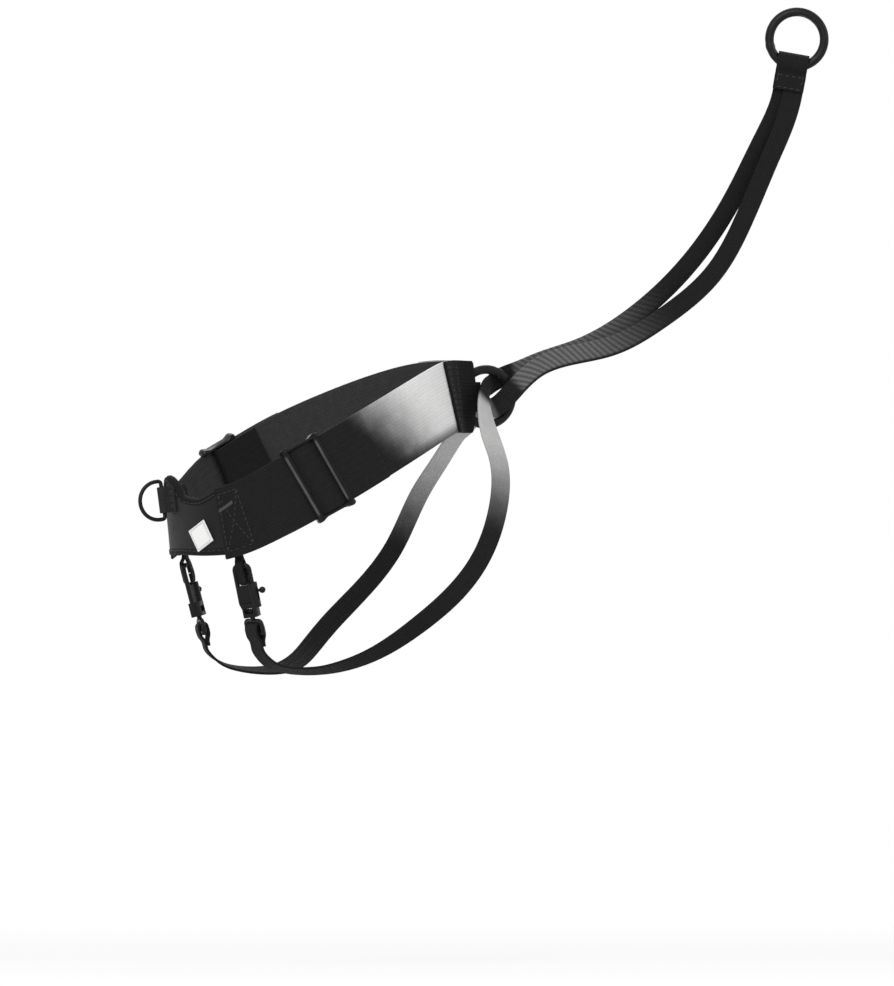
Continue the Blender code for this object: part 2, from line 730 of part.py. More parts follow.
def build_withers():
    points = arc(Vector((0, 0, 0)), RING_RADIUS, 0, 360, 40, Vector((1, 0, 0)), Vector((0, 0, 1)))[:-1]
    add_piece("withers_ring", tube(points, RING_WIRE / 2, 12, closed=True), "black metal")

    up = Vector((0, 0, 1))
    back = Vector((1, 0, 0))
    count = 12
    legs = [NECK.length - SLEEVE_LENGTH * (1 - k / count) for k in range(count)]
    left = [(NECK.at(s, 0, BAND_LAYER), NECK.frame(s)[2], BAND_WIDTH, NECK.frame(s)[1]) for s in legs]
    fold = RING_WIRE / 2 + GAP + BAND_THICK / 2
    end = Vector((NECK_CLOSE[-1][0] * MM, -fold, 0))
    left.append((end, up, BAND_WIDTH, back))
    left.append((end + back * 0.05 * MM, up, SLEEVE_NECK, back))
    side = Vector((0, 1, 0))
    turns = [math.radians(-90 + 18 * k) for k in range(11)]
    bend = []
    for t in turns:
        place = Vector((end.x + 0.1 * MM, 0, 0)) + (back * math.cos(t) + side * math.sin(t)) * fold
        bend.append((place, up, SLEEVE_NECK, side * math.cos(t) - back * math.sin(t)))
    right = [(flip(place), flip(tall), width, -flip(way)) for place, tall, width, way in reversed(left)]
    add_piece("withers_sleeve", ribbon(left + bend + right, BAND_THICK), "webbing")


# Lead ring and keeper

def keeper_axes():
    """Directions across the keeper, through it and up along it."""
    right = Vector((math.cos(LEAD_TURN), -math.sin(LEAD_TURN), 0))
    through = Vector((math.sin(LEAD_TURN), math.cos(LEAD_TURN), 0))
    up = Vector((0, 0, 1))
    across = right * math.cos(LEAD_LEAN) - up * math.sin(LEAD_LEAN)
    rise = right * math.sin(LEAD_LEAN) + up * math.cos(LEAD_LEAN)
    return across, through, rise


def keeper_at(x, y, z):
    across, through, rise = keeper_axes()
    return LEAD_RING_CENTRE + across * x + through * y + rise * z


def keeper_sizes():
    """The hinge line of the lead ring, the room it needs round that line, and where the strands stop."""
    low = -RING_RADIUS - RING_WIRE / 2
    high = -math.sqrt((RING_BORE / 2) ** 2 - (KEEPER_WIDTH / 2) ** 2)
    return (low + high) / 2, (high - low) / 2 + GAP, low - 1.5 * MM


def build_lead_end():
    across, through, rise = keeper_axes()
    hinge, room, stop = keeper_sizes()
    points = arc(LEAD_RING_CENTRE, RING_RADIUS, 0, 360, 40, across, rise)[:-1]
    ring = tube(points, RING_WIRE / 2, 12, closed=True)
    add_piece("lead_ring", ring, "black metal", keeper_at(0, 0, hinge))
    loose = room + KEEPER_THICK / 2
    tight = STRAND_DEPTH + STRAP_THICK / 2 + GAP + KEEPER_THICK / 2
    side = [keeper_at(0, tight, z) for z in (-KEEPER_LENGTH, (stop - KEEPER_LENGTH) / 2, stop)]
    over = arc(keeper_at(0, 0, hinge), loose, -25, 205, 14, through, rise)
    other = [keeper_at(0, -tight, z) for z in (stop, (stop - KEEPER_LENGTH) / 2, -KEEPER_LENGTH)]
    curve = Curve(side + over + other, firm=True)
    stations = [(curve.point(d), across, KEEPER_WIDTH) for d in curve.stops(3 * MM)]
    add_piece("lead_ring_keeper", ribbon(stations, KEEPER_THICK), "webbing", keeper_at(0, 0, hinge))


def build_straps():
    """Leg straps from the snap eyes through the withers ring, and the strands on to the keeper."""
    axes = snap_axes()
    eye_bar = axes @ Vector((0, 0, EYE_BAR))
    down = -SNAP_UP
    facing = -(axes.to_3x3() @ Vector((math.cos(EYE_TURN), math.sin(EYE_TURN), 0)))
    radius = EYE_WIRE / 2 + LOOP_ROOM + STRAP_THICK / 2
    spread = STRAP_THICK / 2 + GAP / 2
    start = fold_round(eye_bar, down, facing, radius, spread, STRAP_TAIL * 0.75, STRAP_TAIL)
    _, _, stop = keeper_sizes()
    across, through, rise = keeper_axes()
    ways = {
        "left": (LEFT_CROSSING, LEFT_STRAND, LEFT_APPROACH),
        "right": (RIGHT_CROSSING, RIGHT_STRAND, RIGHT_APPROACH),
    }
    for side, (crossing, strand, approach) in ways.items():
        sign = -1 if side == "left" else 1
        turn = (lambda p: p) if side == "left" else flip
        fold = Curve([turn(p) for p in start], firm=True)
        bar_way = turn(facing).cross(turn(down))
        loop = [(fold.point(d), bar_way, STRAP_WIDTH) for d in fold.stops(5 * MM)[:-1]]
        route = [(turn(p), turn(facing)) for p in start[-2:]]
        route += [(turn(Vector(p) * MM), turn(Vector(f))) for p, f in LEG_ROUTE]
        route += [(Vector(p) * MM, Vector(f)) for p, f in crossing]
        split = len(route) - 1
        route += [(Vector(p) * MM, Vector((0, sign, 0))) for p in strand]
        route += [(LEAD_RING_CENTRE + Vector(p) * MM, Vector((0, sign, 0))) for p in approach]
        for z in (-KEEPER_LENGTH - 3 * MM, (stop - KEEPER_LENGTH) / 2, stop):
            route.append((keeper_at(sign * KEEPER_SPLAY, -sign * STRAND_DEPTH, z), through * sign))
        curve = Curve([p for p, _ in route], [f.normalized() for _, f in route])
        middle = curve.knots[split]
        spans = {f"{side}_leg_strap": (curve.knots[1], middle - GAP / 2, loop),
                 f"{side}_lead_strand": (middle + GAP / 2, curve.length, [])}
        for name, (low, high, before) in spans.items():
            marks = [low] + [d for d in curve.stops(5 * MM) if low + MM < d < high - MM] + [high]
            stations = []
            for d in marks:
                along = curve.tangent(d)
                stations.append((curve.point(d), curve.extra(d).cross(along), STRAP_WIDTH, along))
            add_piece(name, ribbon(before + stations, STRAP_THICK), "webbing")


# Bolt snaps

def snap_axes():
    """The left snap's own axes: x to its stud, z up its axis, origin on the swivel's face."""
    place, along, up, out = NECK.frame(CLIP_PLACE)
    crown = NECK.at(CLIP_PLACE, -(BAND_WIDTH / 2 + SNAP_HANG), clip_level())
    x = (along - SNAP_UP * along.dot(SNAP_UP)).normalized()
    y = SNAP_UP.cross(x)
    middle = (SNAP_SPINE + SNAP_GATE) / 2
    origin = crown - SNAP_UP * SNAP_CROWN - x * middle
    return Matrix.Translation(origin) @ Matrix((x, y, SNAP_UP)).transposed().to_4x4()


def clip_level():
    """How far inside the neck loop the snap's crown hangs: between the two legs of its tab."""
    return LINING_BACK - GAP - TAPE_THICK - GAP / 2


def clip_line(crown, up, out, across, along, radius, spread, top):
    """Places along the tab and the direction across it: flat on the yoke, turned to the snap below."""
    fold = Curve(fold_round(crown, up, out, radius, spread, top, top), firm=True)
    line = []
    for d in fold.stops(3 * MM):
        place = fold.point(d)
        high = (place - crown).dot(up)
        share = min(max((high - radius) / SNAP_HANG, 0), 1)
        line.append((place, across * (1 - share) + along * share))
    return line


def build_clip_tab(side, mirrored):
    """A tape that hangs from the back of the yoke and carries the crown of the snap in its fold."""
    axes = snap_axes()
    across = axes.to_3x3() @ Vector((1, 0, 0))
    _, along, up, out = NECK.frame(CLIP_PLACE)
    crown = axes @ Vector(((SNAP_SPINE + SNAP_GATE) / 2, 0, SNAP_CROWN))
    radius = SNAP_WIRE / 2 + LOOP_ROOM + TAPE_THICK / 2
    spread = (TAPE_THICK + GAP) / 2
    line = clip_line(crown, up, out, across, along, radius, spread, SNAP_HANG + CLIP_LEG)
    stations = [(place, way, CLIP_WIDTH) for place, way in line]
    add_piece(f"{side}_clip_tab", ribbon(stations, TAPE_THICK), "webbing", mirrored=mirrored)


def build_snap_hook(side, mirrored):
    x = Vector((1, 0, 0))
    z = Vector((0, 0, 1))
    radius = SNAP_WIRE / 2
    level = SNAP_CROWN - SNAP_CORNER
    spine = [Vector((SNAP_SPINE * 0.6, 0, SWIVEL_PLATE)), Vector((SNAP_SPINE, 0, BARREL_FOOT + SNAP_WIRE))]
    spine += arc(Vector((SNAP_SPINE + SNAP_CORNER, 0, level)), SNAP_CORNER, 180, 90, 5, x, z)
    spine += arc(Vector((SNAP_GATE - SNAP_CORNER, 0, level)), SNAP_CORNER, 90, 0, 5, x, z)
    spine.append(Vector((SNAP_GATE, 0, SNAP_TIP)))
    hook = tube(spine, radius, 10)

    ceiling = SWIVEL_PLATE + SWIVEL_ROOM
    base = block((-SWIVEL_HALF, -SWIVEL_DEPTH, 0), (SWIVEL_HALF, SWIVEL_DEPTH, ceiling + SNAP_WIRE))
    upright = [e for e in base.edges if abs(e.verts[0].co.z - e.verts[1].co.z) > MM]
    round_off = SWIVEL_DEPTH * 0.4
    bmesh.ops.bevel(base, geom=upright, offset=round_off, segments=2, affect="EDGES", profile=0.5)
    barrel = rod((SNAP_GATE, 0, BARREL_FOOT), (SNAP_GATE, 0, BARREL_TOP), BARREL_RADIUS, 16)
    web = block((SNAP_SPINE, -radius * 0.8, ceiling), (SNAP_GATE, radius * 0.8, WEB_TOP))
    body = union(base, barrel, web, hook)

    wide = SHANK_HEAD_RADIUS + GAP
    room = block((-wide, -SWIVEL_DEPTH * 2, SWIVEL_PLATE), (wide, SWIVEL_DEPTH * 2, ceiling))
    bore = rod((0, 0, -MM), (0, 0, SWIVEL_PLATE + MM), SHANK_RADIUS + GAP, 16)
    channel = rod((SNAP_GATE, 0, BORE_FOOT), (SNAP_GATE, 0, BARREL_TOP + MM), BOLT_RADIUS + GAP, 16)
    slot_half = STUD_RADIUS + GAP
    slot = block((SNAP_GATE, -slot_half, STUD_LEVEL - BOLT_TRAVEL - slot_half),
                 (SNAP_GATE + BARREL_RADIUS * 2, slot_half, STUD_LEVEL + slot_half))
    for cutter in (room, bore, channel, slot):
        body = combine(body, cutter, "DIFFERENCE")
    axes = snap_axes()
    body.transform(axes)
    add_piece(f"{side}_snap_hook", body, "black metal", axes.translation, mirrored)


def build_snap_bolt(side, mirrored):
    """The spring bolt and its thumb stud, one turned piece."""
    top = SNAP_TIP - GAP
    bolt = rod((SNAP_GATE, 0, BOLT_FOOT), (SNAP_GATE, 0, top), BOLT_RADIUS, 14)
    knob = Vector((SNAP_GATE + STUD_REACH - STUD_HEAD, 0, STUD_LEVEL))
    stem = rod((SNAP_GATE, 0, STUD_LEVEL), knob, STUD_RADIUS, 10)
    head = bmesh.new()
    bmesh.ops.create_icosphere(head, subdivisions=2, radius=STUD_HEAD)
    head.transform(Matrix.Translation(knob))
    mesh = union(bolt, stem, head)
    axes = snap_axes()
    mesh.transform(axes)
    foot = axes @ Vector((SNAP_GATE, 0, BOLT_FOOT))
    add_piece(f"{side}_snap_bolt", mesh, "black metal", foot, mirrored)


def build_snap_spring(side, mirrored):
    """A coil between the floor of the bore and the bolt, one unbroken tube."""
    low = BORE_FOOT + GAP + SPRING_WIRE / 2
    high = BOLT_FOOT - GAP - SPRING_WIRE / 2
    radius = BOLT_RADIUS - SPRING_WIRE / 2
    per_turn = 8
    count = SPRING_TURNS * per_turn
    points = []
    for k in range(count + 1):
        t = 2 * math.pi * k / per_turn
        rise = (high - low) * k / count
        points.append(Vector((SNAP_GATE + radius * math.cos(t), radius * math.sin(t), low + rise)))
    if side == "left":
        half = per_turn // 2
        least = min((a - b).length for i, a in enumerate(points) for b in points[i + half:])
        print(f"snap spring: least gap to itself {(least - SPRING_WIRE) / MM:.2f} mm")
    mesh = tube(points, SPRING_WIRE / 2, 5)
    axes = snap_axes()
    mesh.transform(axes)
    add_piece(f"{side}_snap_spring", mesh, "steel", axes @ Vector((SNAP_GATE, 0, BORE_FOOT)), mirrored)


def build_snap_eye(side, mirrored):
    y = Vector((0, 1, 0))
    z = Vector((0, 0, 1))
    half = STRAP_WIDTH / 2 + LOOP_ROOM + EYE_WIRE / 2
    loop = []
    corners = (1, EYE_TOP, 0), (-1, EYE_TOP, 90), (-1, EYE_BAR, 180), (1, EYE_BAR, 270)
    for sign, level, start in corners:
        inward = -EYE_CORNER if level == EYE_TOP else EYE_CORNER
        centre = Vector((0, sign * (half - EYE_CORNER), level + inward))
        loop += arc(centre, EYE_CORNER, start, start + 90, 4, y, z)
    ring = tube(loop, EYE_WIRE / 2, 10, closed=True)
    head_foot = SWIVEL_PLATE + GAP
    shank = rod((0, 0, EYE_TOP), (0, 0, head_foot + SHANK_HEAD / 2), SHANK_RADIUS, 14)
    head = rod((0, 0, head_foot), (0, 0, head_foot + SHANK_HEAD), SHANK_HEAD_RADIUS, 16)
    mesh = union(ring, shank, head)
    axes = snap_axes()
    mesh.transform(axes @ Matrix.Rotation(EYE_TURN, 4, "Z"))
    add_piece(f"{side}_snap_eye", mesh, "black metal", axes.translation, mirrored)


def main():
    clear_scene()
    build_yoke()
    build_patch()
    build_chest_ring()
    build_chest_tab()
    build_withers()
    build_lead_end()
    build_straps()
    for side, mirrored in (("left", False), ("right", True)):
        build_band(side, mirrored)
        build_slider(side, mirrored)
        build_clip_tab(side, mirrored)
        build_snap_hook(side, mirrored)
        build_snap_bolt(side, mirrored)
        build_snap_spring(side, mirrored)
        build_snap_eye(side, mirrored)


main()
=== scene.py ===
"""Looks of a no-pull dog harness: its webbing, stitching, metal and studio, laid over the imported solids."""

import json
import math

import bpy
import numpy as np
from bpy.props import FloatProperty, FloatVectorProperty, PointerProperty
from mathutils import Matrix, Vector
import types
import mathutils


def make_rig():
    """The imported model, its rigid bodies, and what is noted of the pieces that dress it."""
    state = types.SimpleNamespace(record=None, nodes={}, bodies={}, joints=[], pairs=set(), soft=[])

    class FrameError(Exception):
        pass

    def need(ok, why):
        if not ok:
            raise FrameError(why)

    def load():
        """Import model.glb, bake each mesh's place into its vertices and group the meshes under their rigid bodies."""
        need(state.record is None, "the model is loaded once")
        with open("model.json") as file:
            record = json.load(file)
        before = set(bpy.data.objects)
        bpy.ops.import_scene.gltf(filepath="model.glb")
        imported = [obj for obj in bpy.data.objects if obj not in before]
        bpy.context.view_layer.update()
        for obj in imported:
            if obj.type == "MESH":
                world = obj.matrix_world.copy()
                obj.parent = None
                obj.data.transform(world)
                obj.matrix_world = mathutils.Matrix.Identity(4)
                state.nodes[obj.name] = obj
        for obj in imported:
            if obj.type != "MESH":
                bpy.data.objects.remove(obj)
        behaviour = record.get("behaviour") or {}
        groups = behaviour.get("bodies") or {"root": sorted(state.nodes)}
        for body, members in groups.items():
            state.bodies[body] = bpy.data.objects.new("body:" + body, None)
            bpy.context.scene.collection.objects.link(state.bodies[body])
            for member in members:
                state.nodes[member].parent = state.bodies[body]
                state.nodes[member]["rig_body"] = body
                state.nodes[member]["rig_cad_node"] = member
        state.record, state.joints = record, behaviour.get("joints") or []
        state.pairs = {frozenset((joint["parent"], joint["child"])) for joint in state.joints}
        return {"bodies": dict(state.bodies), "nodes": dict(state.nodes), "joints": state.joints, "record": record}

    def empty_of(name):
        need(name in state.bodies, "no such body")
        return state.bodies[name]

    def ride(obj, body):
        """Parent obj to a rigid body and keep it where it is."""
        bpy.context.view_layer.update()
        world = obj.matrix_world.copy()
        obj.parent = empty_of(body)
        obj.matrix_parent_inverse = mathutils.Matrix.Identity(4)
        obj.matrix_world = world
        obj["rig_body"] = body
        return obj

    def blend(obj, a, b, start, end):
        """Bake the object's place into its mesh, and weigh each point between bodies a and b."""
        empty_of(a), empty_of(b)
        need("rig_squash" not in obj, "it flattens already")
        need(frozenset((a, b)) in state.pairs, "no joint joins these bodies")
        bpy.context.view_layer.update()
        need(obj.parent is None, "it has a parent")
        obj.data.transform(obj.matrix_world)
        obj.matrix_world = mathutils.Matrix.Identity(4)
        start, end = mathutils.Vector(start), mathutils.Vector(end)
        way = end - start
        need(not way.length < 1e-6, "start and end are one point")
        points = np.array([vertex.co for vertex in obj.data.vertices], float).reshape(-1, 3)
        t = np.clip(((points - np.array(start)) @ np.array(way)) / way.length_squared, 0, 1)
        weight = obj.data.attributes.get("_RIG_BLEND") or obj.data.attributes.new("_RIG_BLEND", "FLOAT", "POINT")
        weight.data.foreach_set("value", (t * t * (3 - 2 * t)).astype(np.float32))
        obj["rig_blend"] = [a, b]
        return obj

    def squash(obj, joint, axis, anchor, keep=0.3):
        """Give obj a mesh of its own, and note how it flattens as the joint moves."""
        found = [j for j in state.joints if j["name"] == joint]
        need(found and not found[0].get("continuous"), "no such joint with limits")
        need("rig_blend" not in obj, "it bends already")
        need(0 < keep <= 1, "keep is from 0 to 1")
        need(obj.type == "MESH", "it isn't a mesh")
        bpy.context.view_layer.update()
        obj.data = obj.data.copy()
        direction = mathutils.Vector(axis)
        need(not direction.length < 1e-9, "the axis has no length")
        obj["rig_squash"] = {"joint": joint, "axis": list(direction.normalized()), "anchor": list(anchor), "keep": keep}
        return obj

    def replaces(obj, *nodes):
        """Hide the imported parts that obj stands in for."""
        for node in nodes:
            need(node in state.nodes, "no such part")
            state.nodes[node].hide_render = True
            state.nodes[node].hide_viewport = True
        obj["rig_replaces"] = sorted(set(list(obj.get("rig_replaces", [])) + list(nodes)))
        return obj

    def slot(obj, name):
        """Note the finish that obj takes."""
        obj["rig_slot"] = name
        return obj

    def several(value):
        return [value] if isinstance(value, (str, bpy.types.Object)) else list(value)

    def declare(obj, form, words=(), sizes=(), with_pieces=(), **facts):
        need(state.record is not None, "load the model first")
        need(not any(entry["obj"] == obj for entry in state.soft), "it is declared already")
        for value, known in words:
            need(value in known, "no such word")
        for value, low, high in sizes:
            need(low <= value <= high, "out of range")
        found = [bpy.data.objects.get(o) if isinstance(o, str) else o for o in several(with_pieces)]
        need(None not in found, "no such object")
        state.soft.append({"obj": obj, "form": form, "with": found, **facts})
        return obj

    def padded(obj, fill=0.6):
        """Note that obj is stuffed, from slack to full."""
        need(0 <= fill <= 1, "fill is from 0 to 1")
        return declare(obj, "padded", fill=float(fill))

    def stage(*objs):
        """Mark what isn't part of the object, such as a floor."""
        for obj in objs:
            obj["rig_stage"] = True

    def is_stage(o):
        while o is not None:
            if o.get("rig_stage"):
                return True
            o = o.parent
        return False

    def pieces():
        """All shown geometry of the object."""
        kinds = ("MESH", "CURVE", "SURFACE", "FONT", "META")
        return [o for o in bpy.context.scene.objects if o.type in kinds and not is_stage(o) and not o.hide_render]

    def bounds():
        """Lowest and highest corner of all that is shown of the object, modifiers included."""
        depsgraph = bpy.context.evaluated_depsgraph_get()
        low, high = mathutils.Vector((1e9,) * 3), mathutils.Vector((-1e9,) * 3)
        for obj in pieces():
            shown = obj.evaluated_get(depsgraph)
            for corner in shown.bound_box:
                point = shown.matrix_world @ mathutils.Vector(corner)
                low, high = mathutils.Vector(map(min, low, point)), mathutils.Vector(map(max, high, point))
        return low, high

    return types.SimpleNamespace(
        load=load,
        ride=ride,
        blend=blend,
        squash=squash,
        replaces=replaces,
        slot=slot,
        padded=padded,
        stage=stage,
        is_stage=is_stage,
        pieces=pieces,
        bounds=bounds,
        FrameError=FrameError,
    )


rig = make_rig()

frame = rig.load()
CAD_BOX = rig.bounds()

bl_info = {
    "name": "No-pull dog harness",
    "version": (1, 0, 0),
    "blender": (4, 5, 0),
    "location": "View3D > Sidebar > Harness",
    "description": "Dresses the packed harness in webbing, stitching and metal, and sets its stage",
    "category": "Object",
}

MM = 0.001

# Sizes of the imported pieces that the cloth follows
BAND_WIDTH = 35 * MM
BAND_THICK = 1.4 * MM
STRAP_WIDTH = 10 * MM
STRAP_THICK = 1.3 * MM
TAPE_THICK = 1.0 * MM
GAP = 0.3 * MM
RING_BORE = 23 * MM
RING_WIRE = 4.5 * MM
RING_RADIUS = (RING_BORE + RING_WIRE) / 2
YOKE_REACH = 53 * MM
YOKE_CORNER = 4 * MM
SHELL_THICK = 1.6 * MM
LINING_EDGE = 1.2 * MM
LINING_CROWN = 2.0 * MM
DEE_HEIGHT = 21 * MM
DEE_REACH = 13.2 * MM
DEE_WIRE = 2.0 * MM
DEE_LEVEL = 11 * MM
DEE_TAB_HEIGHT = 13 * MM
DEE_TAB_REACH = 6 * MM
PATCH_SIDE = 12 * MM
PATCH_THICK = 0.8 * MM
PATCH_PLACE = 24.5 * MM
PATCH_DROP = 4.7 * MM
PATCH_TURN = math.radians(30)
BAND_START = 37 * MM
SLIDER_PLACE = 92.4 * MM
SLIDER_BAR = 3.6 * MM
BAR_STEP = 8.7 * MM
CORE_LEVEL = -0.4 * MM
BAND_TAIL = 36 * MM
BAND_RETURN = 22 * MM
SHOULDER_TILT = math.radians(11)
CHEST_TILT = math.radians(8)
CHEST_EASE = 50 * MM
SHOULDER_EASE = (20 * MM, 90 * MM)
SLEEVE_LENGTH = 25 * MM
SLEEVE_NECK = 15 * MM
BAND_STOP = 10.5 * MM
BAND_LAYER = BAND_THICK + GAP
OVER_CORE = 1.4 * MM
BAND_SHOWN = BAND_WIDTH + 1.1 * MM
YOKE_FACE = -(BAND_THICK / 2 + GAP)
LINING_FACE = YOKE_FACE - SHELL_THICK - GAP
LINING_BACK = LINING_FACE - LINING_EDGE
CLIP_PLACE = 41 * MM
CLIP_WIDTH = 4 * MM
CLIP_LEG = 12 * MM
CLIP_SLACK = 7.4 * MM
SNAP_HANG = 4.4 * MM
SNAP_WIRE = 2.4 * MM
SNAP_SPINE = -4.6 * MM
SNAP_GATE = 3.4 * MM
SNAP_CROWN = 26.3 * MM
SNAP_UP = Vector((-0.24, -0.07, 0.97)).normalized()
SPRING_FOOT = 5.8 * MM
SPRING_SHUT = 0.27
EYE_BAR = -8.8 * MM
EYE_WIRE = 2.2 * MM
EYE_SLACK = 2.9 * MM
EYE_TURN = math.radians(60)
STRAP_TAIL = 7.5 * MM
LOOP_ROOM = 0.5 * MM
KEEPER_WIDTH = 15.6 * MM
KEEPER_LENGTH = 26 * MM
KEEPER_THICK = 1.0 * MM
KEEPER_SPLAY = 2.6 * MM
STRAND_DEPTH = (STRAP_THICK + GAP * 1.4) / 2

# Place of the lead ring and the way it faces
LEAD_CENTRE = Vector((168.4, 0, 179.8)) * MM
LEAD_TURN = math.radians(22)
LEAD_LEAN = math.radians(10)
STRAND_CLEAR = 1.5 * MM

# Routes of the webbing, in millimetres, from part.py
NECK_ROUTE = [
    (-169.5, 0, -62), (-164, -20.5, -64.5), (-156.5, -33.5, -63.5), (-147, -43.8, -59.5),
    (-134.5, -53, -52), (-112.5, -57, -40), (-90.5, -55.5, -28), (-65, -46, -15.5),
    (-36.5, -26.5, -3.4), (-23.5, -12.6, 0), (-17.3, -5.8, 0.1),
]
NECK_CLOSE = [(-12.5, 2.0, 0), (-7.3, 1.0, 0)]
LEG_ROUTE = [
    ((-133.6, -34.2, -129.8), (-0.8, -0.25, -0.55)), ((-128.6, -32.8, -133.4), (-0.5, -0.25, -0.83)),
    ((-121.4, -31.2, -135.6), (-0.25, -0.25, -0.93)), ((-112, -30, -136.6), (-0.05, -0.3, -0.95)),
    ((-101, -31.4, -136.2), (0, -0.4, -0.92)), ((-88.5, -38, -133), (0, -0.6, -0.8)),
    ((-75.6, -49.5, -125.8), (0, -0.8, -0.6)), ((-60.3, -60, -113.4), (0, -0.95, -0.3)),
    ((-42.3, -64, -97.4), (0, -1, 0)), ((-25.4, -61.5, -76), (0, -1, 0)),
    ((-14.4, -54, -49), (0, -1, 0.1)), ((-9.3, -40, -33), (0, -0.95, 0.3)),
    ((-7, -24, -20.5), (0, -0.95, 0.3)),
]
CROSSINGS = {
    "left": [
        ((-5.6, -12.6, -8), (0.3, -0.95, 0)), ((-3.6, -6.8, 0), (0.5, -0.85, 0)),
        ((-0.8, -2.6, 4.6), (0.65, -0.75, 0)), ((2.2, 0.7, 5.9), (0.65, -0.75, 0)),
        ((5, 3.5, 7.2), (0.5, -0.85, 0)), ((8.8, 4.7, 9.2), (0.2, -0.98, 0)),
    ],
    "right": [
        ((-5.6, 12.6, -13.5), (0.3, 0.95, 0)), ((-3.6, 6.8, -9), (0.5, 0.85, 0)),
        ((-0.8, 2.6, -6.8), (0.65, 0.75, 0)), ((2.2, -0.7, -5.8), (0.65, 0.75, 0)),
        ((5, -3.5, -4.2), (0.5, 0.85, 0)), ((8.8, -4.7, -0.6), (0.2, 0.98, 0)),
    ],
}
STRANDS = {
    "left": [(18.5, 4.8, 12.8), (29.5, 3.8, 17.2), (50.5, 3.2, 24), (79.5, 3, 39.5), (114.5, 3, 71),
             (135.5, 2.6, 101), (151.5, 2, 131)],
    "right": [(17.5, -4.9, 8.2), (27, -4, 15.2), (39.5, -3.4, 19.8), (67.1, -3, 25.8), (94.5, -3, 40),
              (121.6, -3, 61.9), (139.3, -2.6, 90.7), (152.9, -2, 119.8)],
}
YOKE_TOP = [(0, 21.5), (3, 20), (8, 14), (14, 12.2), (22, 12.6), (36, 16.4), (56, 16.8)]
YOKE_BOTTOM = [(0, -16.5), (12, -15), (22, -13.8), (36, -14.2), (46, -15.5), (56, -15)]
SIDES = {"left": 1, "right": -1}
# Painted highlight near the withers: the bands and leg straps turn light grey there. STRAP_DARK is how far each leg
# strap stays black at its end inside the withers ring, where it lies in shade.
STRAP_DARK = {"left": 19 * MM, "right": 6 * MM}
BAND_FADE = (32 * MM, 88 * MM, 0.65, -99 * MM, 1, (-17.6 * MM, -11 * MM, 0.2, 1))


# What a user would change

def length(name, about, value):
    return FloatProperty(name=name, description=about, default=value, min=0, unit="LENGTH", precision=5)


def colour(name, about, *value):
    return FloatVectorProperty(name=name, description=about, default=value, min=0, max=1, size=3, subtype="COLOR")


class HarnessCloth(bpy.types.PropertyGroup):
    webbing: colour("Webbing", "Colour of the black webbing", 0.0065, 0.0065, 0.0067)
    # Painted highlight: the light grey that the bands and leg straps turn near the withers.
    pale: colour("Faded webbing", "Colour that the webbing fades to at the withers", 0.75, 0.75, 0.745)
    # Painted highlight: the grey on the lead strands near the withers ring.
    worn: colour("Worn webbing", "Grey of the lead strands near the withers ring", 0.115, 0.115, 0.115)
    # Painted light: the inner face is the same black webbing, drawn lighter for its lit look.
    inner: colour("Inner face", "Colour of the webbing's inner face", 0.03, 0.03, 0.0305)
    panel: colour("Yoke panel", "Colour of the smooth chest panel", 0.023, 0.023, 0.0234)
    lining: colour("Lining", "Colour of the knitted lining", 0.03, 0.03, 0.031)
    thread: colour("Thread", "Colour of the stitching", 0.015, 0.015, 0.0155)
    patch: colour("Patch", "Colour of the woven patch", 0.8, 0.8, 0.79)
    rib: length("Rib pitch", "Distance from rib to rib along the webbing", 0.0011)
    column: length("Column width", "Width of one column of the weave", 0.0017)
    rib_depth: length("Rib depth", "Height of the ribs of the weave", 0.00016)
    stitch: length("Stitch length", "Length of one stitch", 0.0021)
    stitch_pitch: length("Stitch pitch", "Distance from stitch to stitch", 0.0028)
    stitch_thick: length("Thread thickness", "Thickness of the thread", 0.00042)


class HarnessMetal(bpy.types.PropertyGroup):
    black: colour("Black metal", "Colour of the rings and snaps", 0.005, 0.005, 0.0052)
    bare: colour("Worn metal", "Colour of the metal where webbing rubs it", 0.2, 0.2, 0.2)
    steel: colour("Spring steel", "Colour of the springs", 0.55, 0.55, 0.56)
    plastic: colour("Slider", "Colour of the moulded sliders", 0.004, 0.004, 0.0042)
    # Painted highlight: the grey line along the front crest of the sliders' outer bars.
    rubbed: colour("Rubbed slider", "Colour of the sliders' bars where the webbing rubs them", 0.07, 0.07, 0.071)
    round_off: length("Edge rounding", "Radius on the edges of the cast snaps", 0.00018)
    slider_round: length("Slider rounding", "Radius on the edges of the moulded sliders", 0.0005)


class HarnessStage(bpy.types.PropertyGroup):
    floor: colour("Floor", "Colour of the floor", 0.9, 0.9, 0.9)
    floor_level: FloatProperty(name="Floor level", description="Height of the floor", default=-0.285, unit="LENGTH")
    turn: FloatProperty(name="Camera turn", description="Turn of the camera from the dog's left side",
                        default=math.radians(-22), subtype="ANGLE")
    distance: length("Camera distance", "Distance of the camera from the harness", 15.0)
    view: length("View height", "Height of the view at the harness", 0.493)
    sky: FloatProperty(name="Sky", description="Level of the light from all round", default=0.58, min=0)
    key: FloatProperty(name="Key light", description="Power of the main light", default=30, min=0, unit="POWER")
    fill: FloatProperty(name="Fill light", description="Power of the second light", default=7, min=0, unit="POWER")
    rim: FloatProperty(name="Rim light", description="Power of the light from behind", default=6, min=0, unit="POWER")
    front: FloatProperty(name="Front light", description="Power of the small light beside the camera", default=3.5,
                         min=0, unit="POWER")


# Curves through chosen points

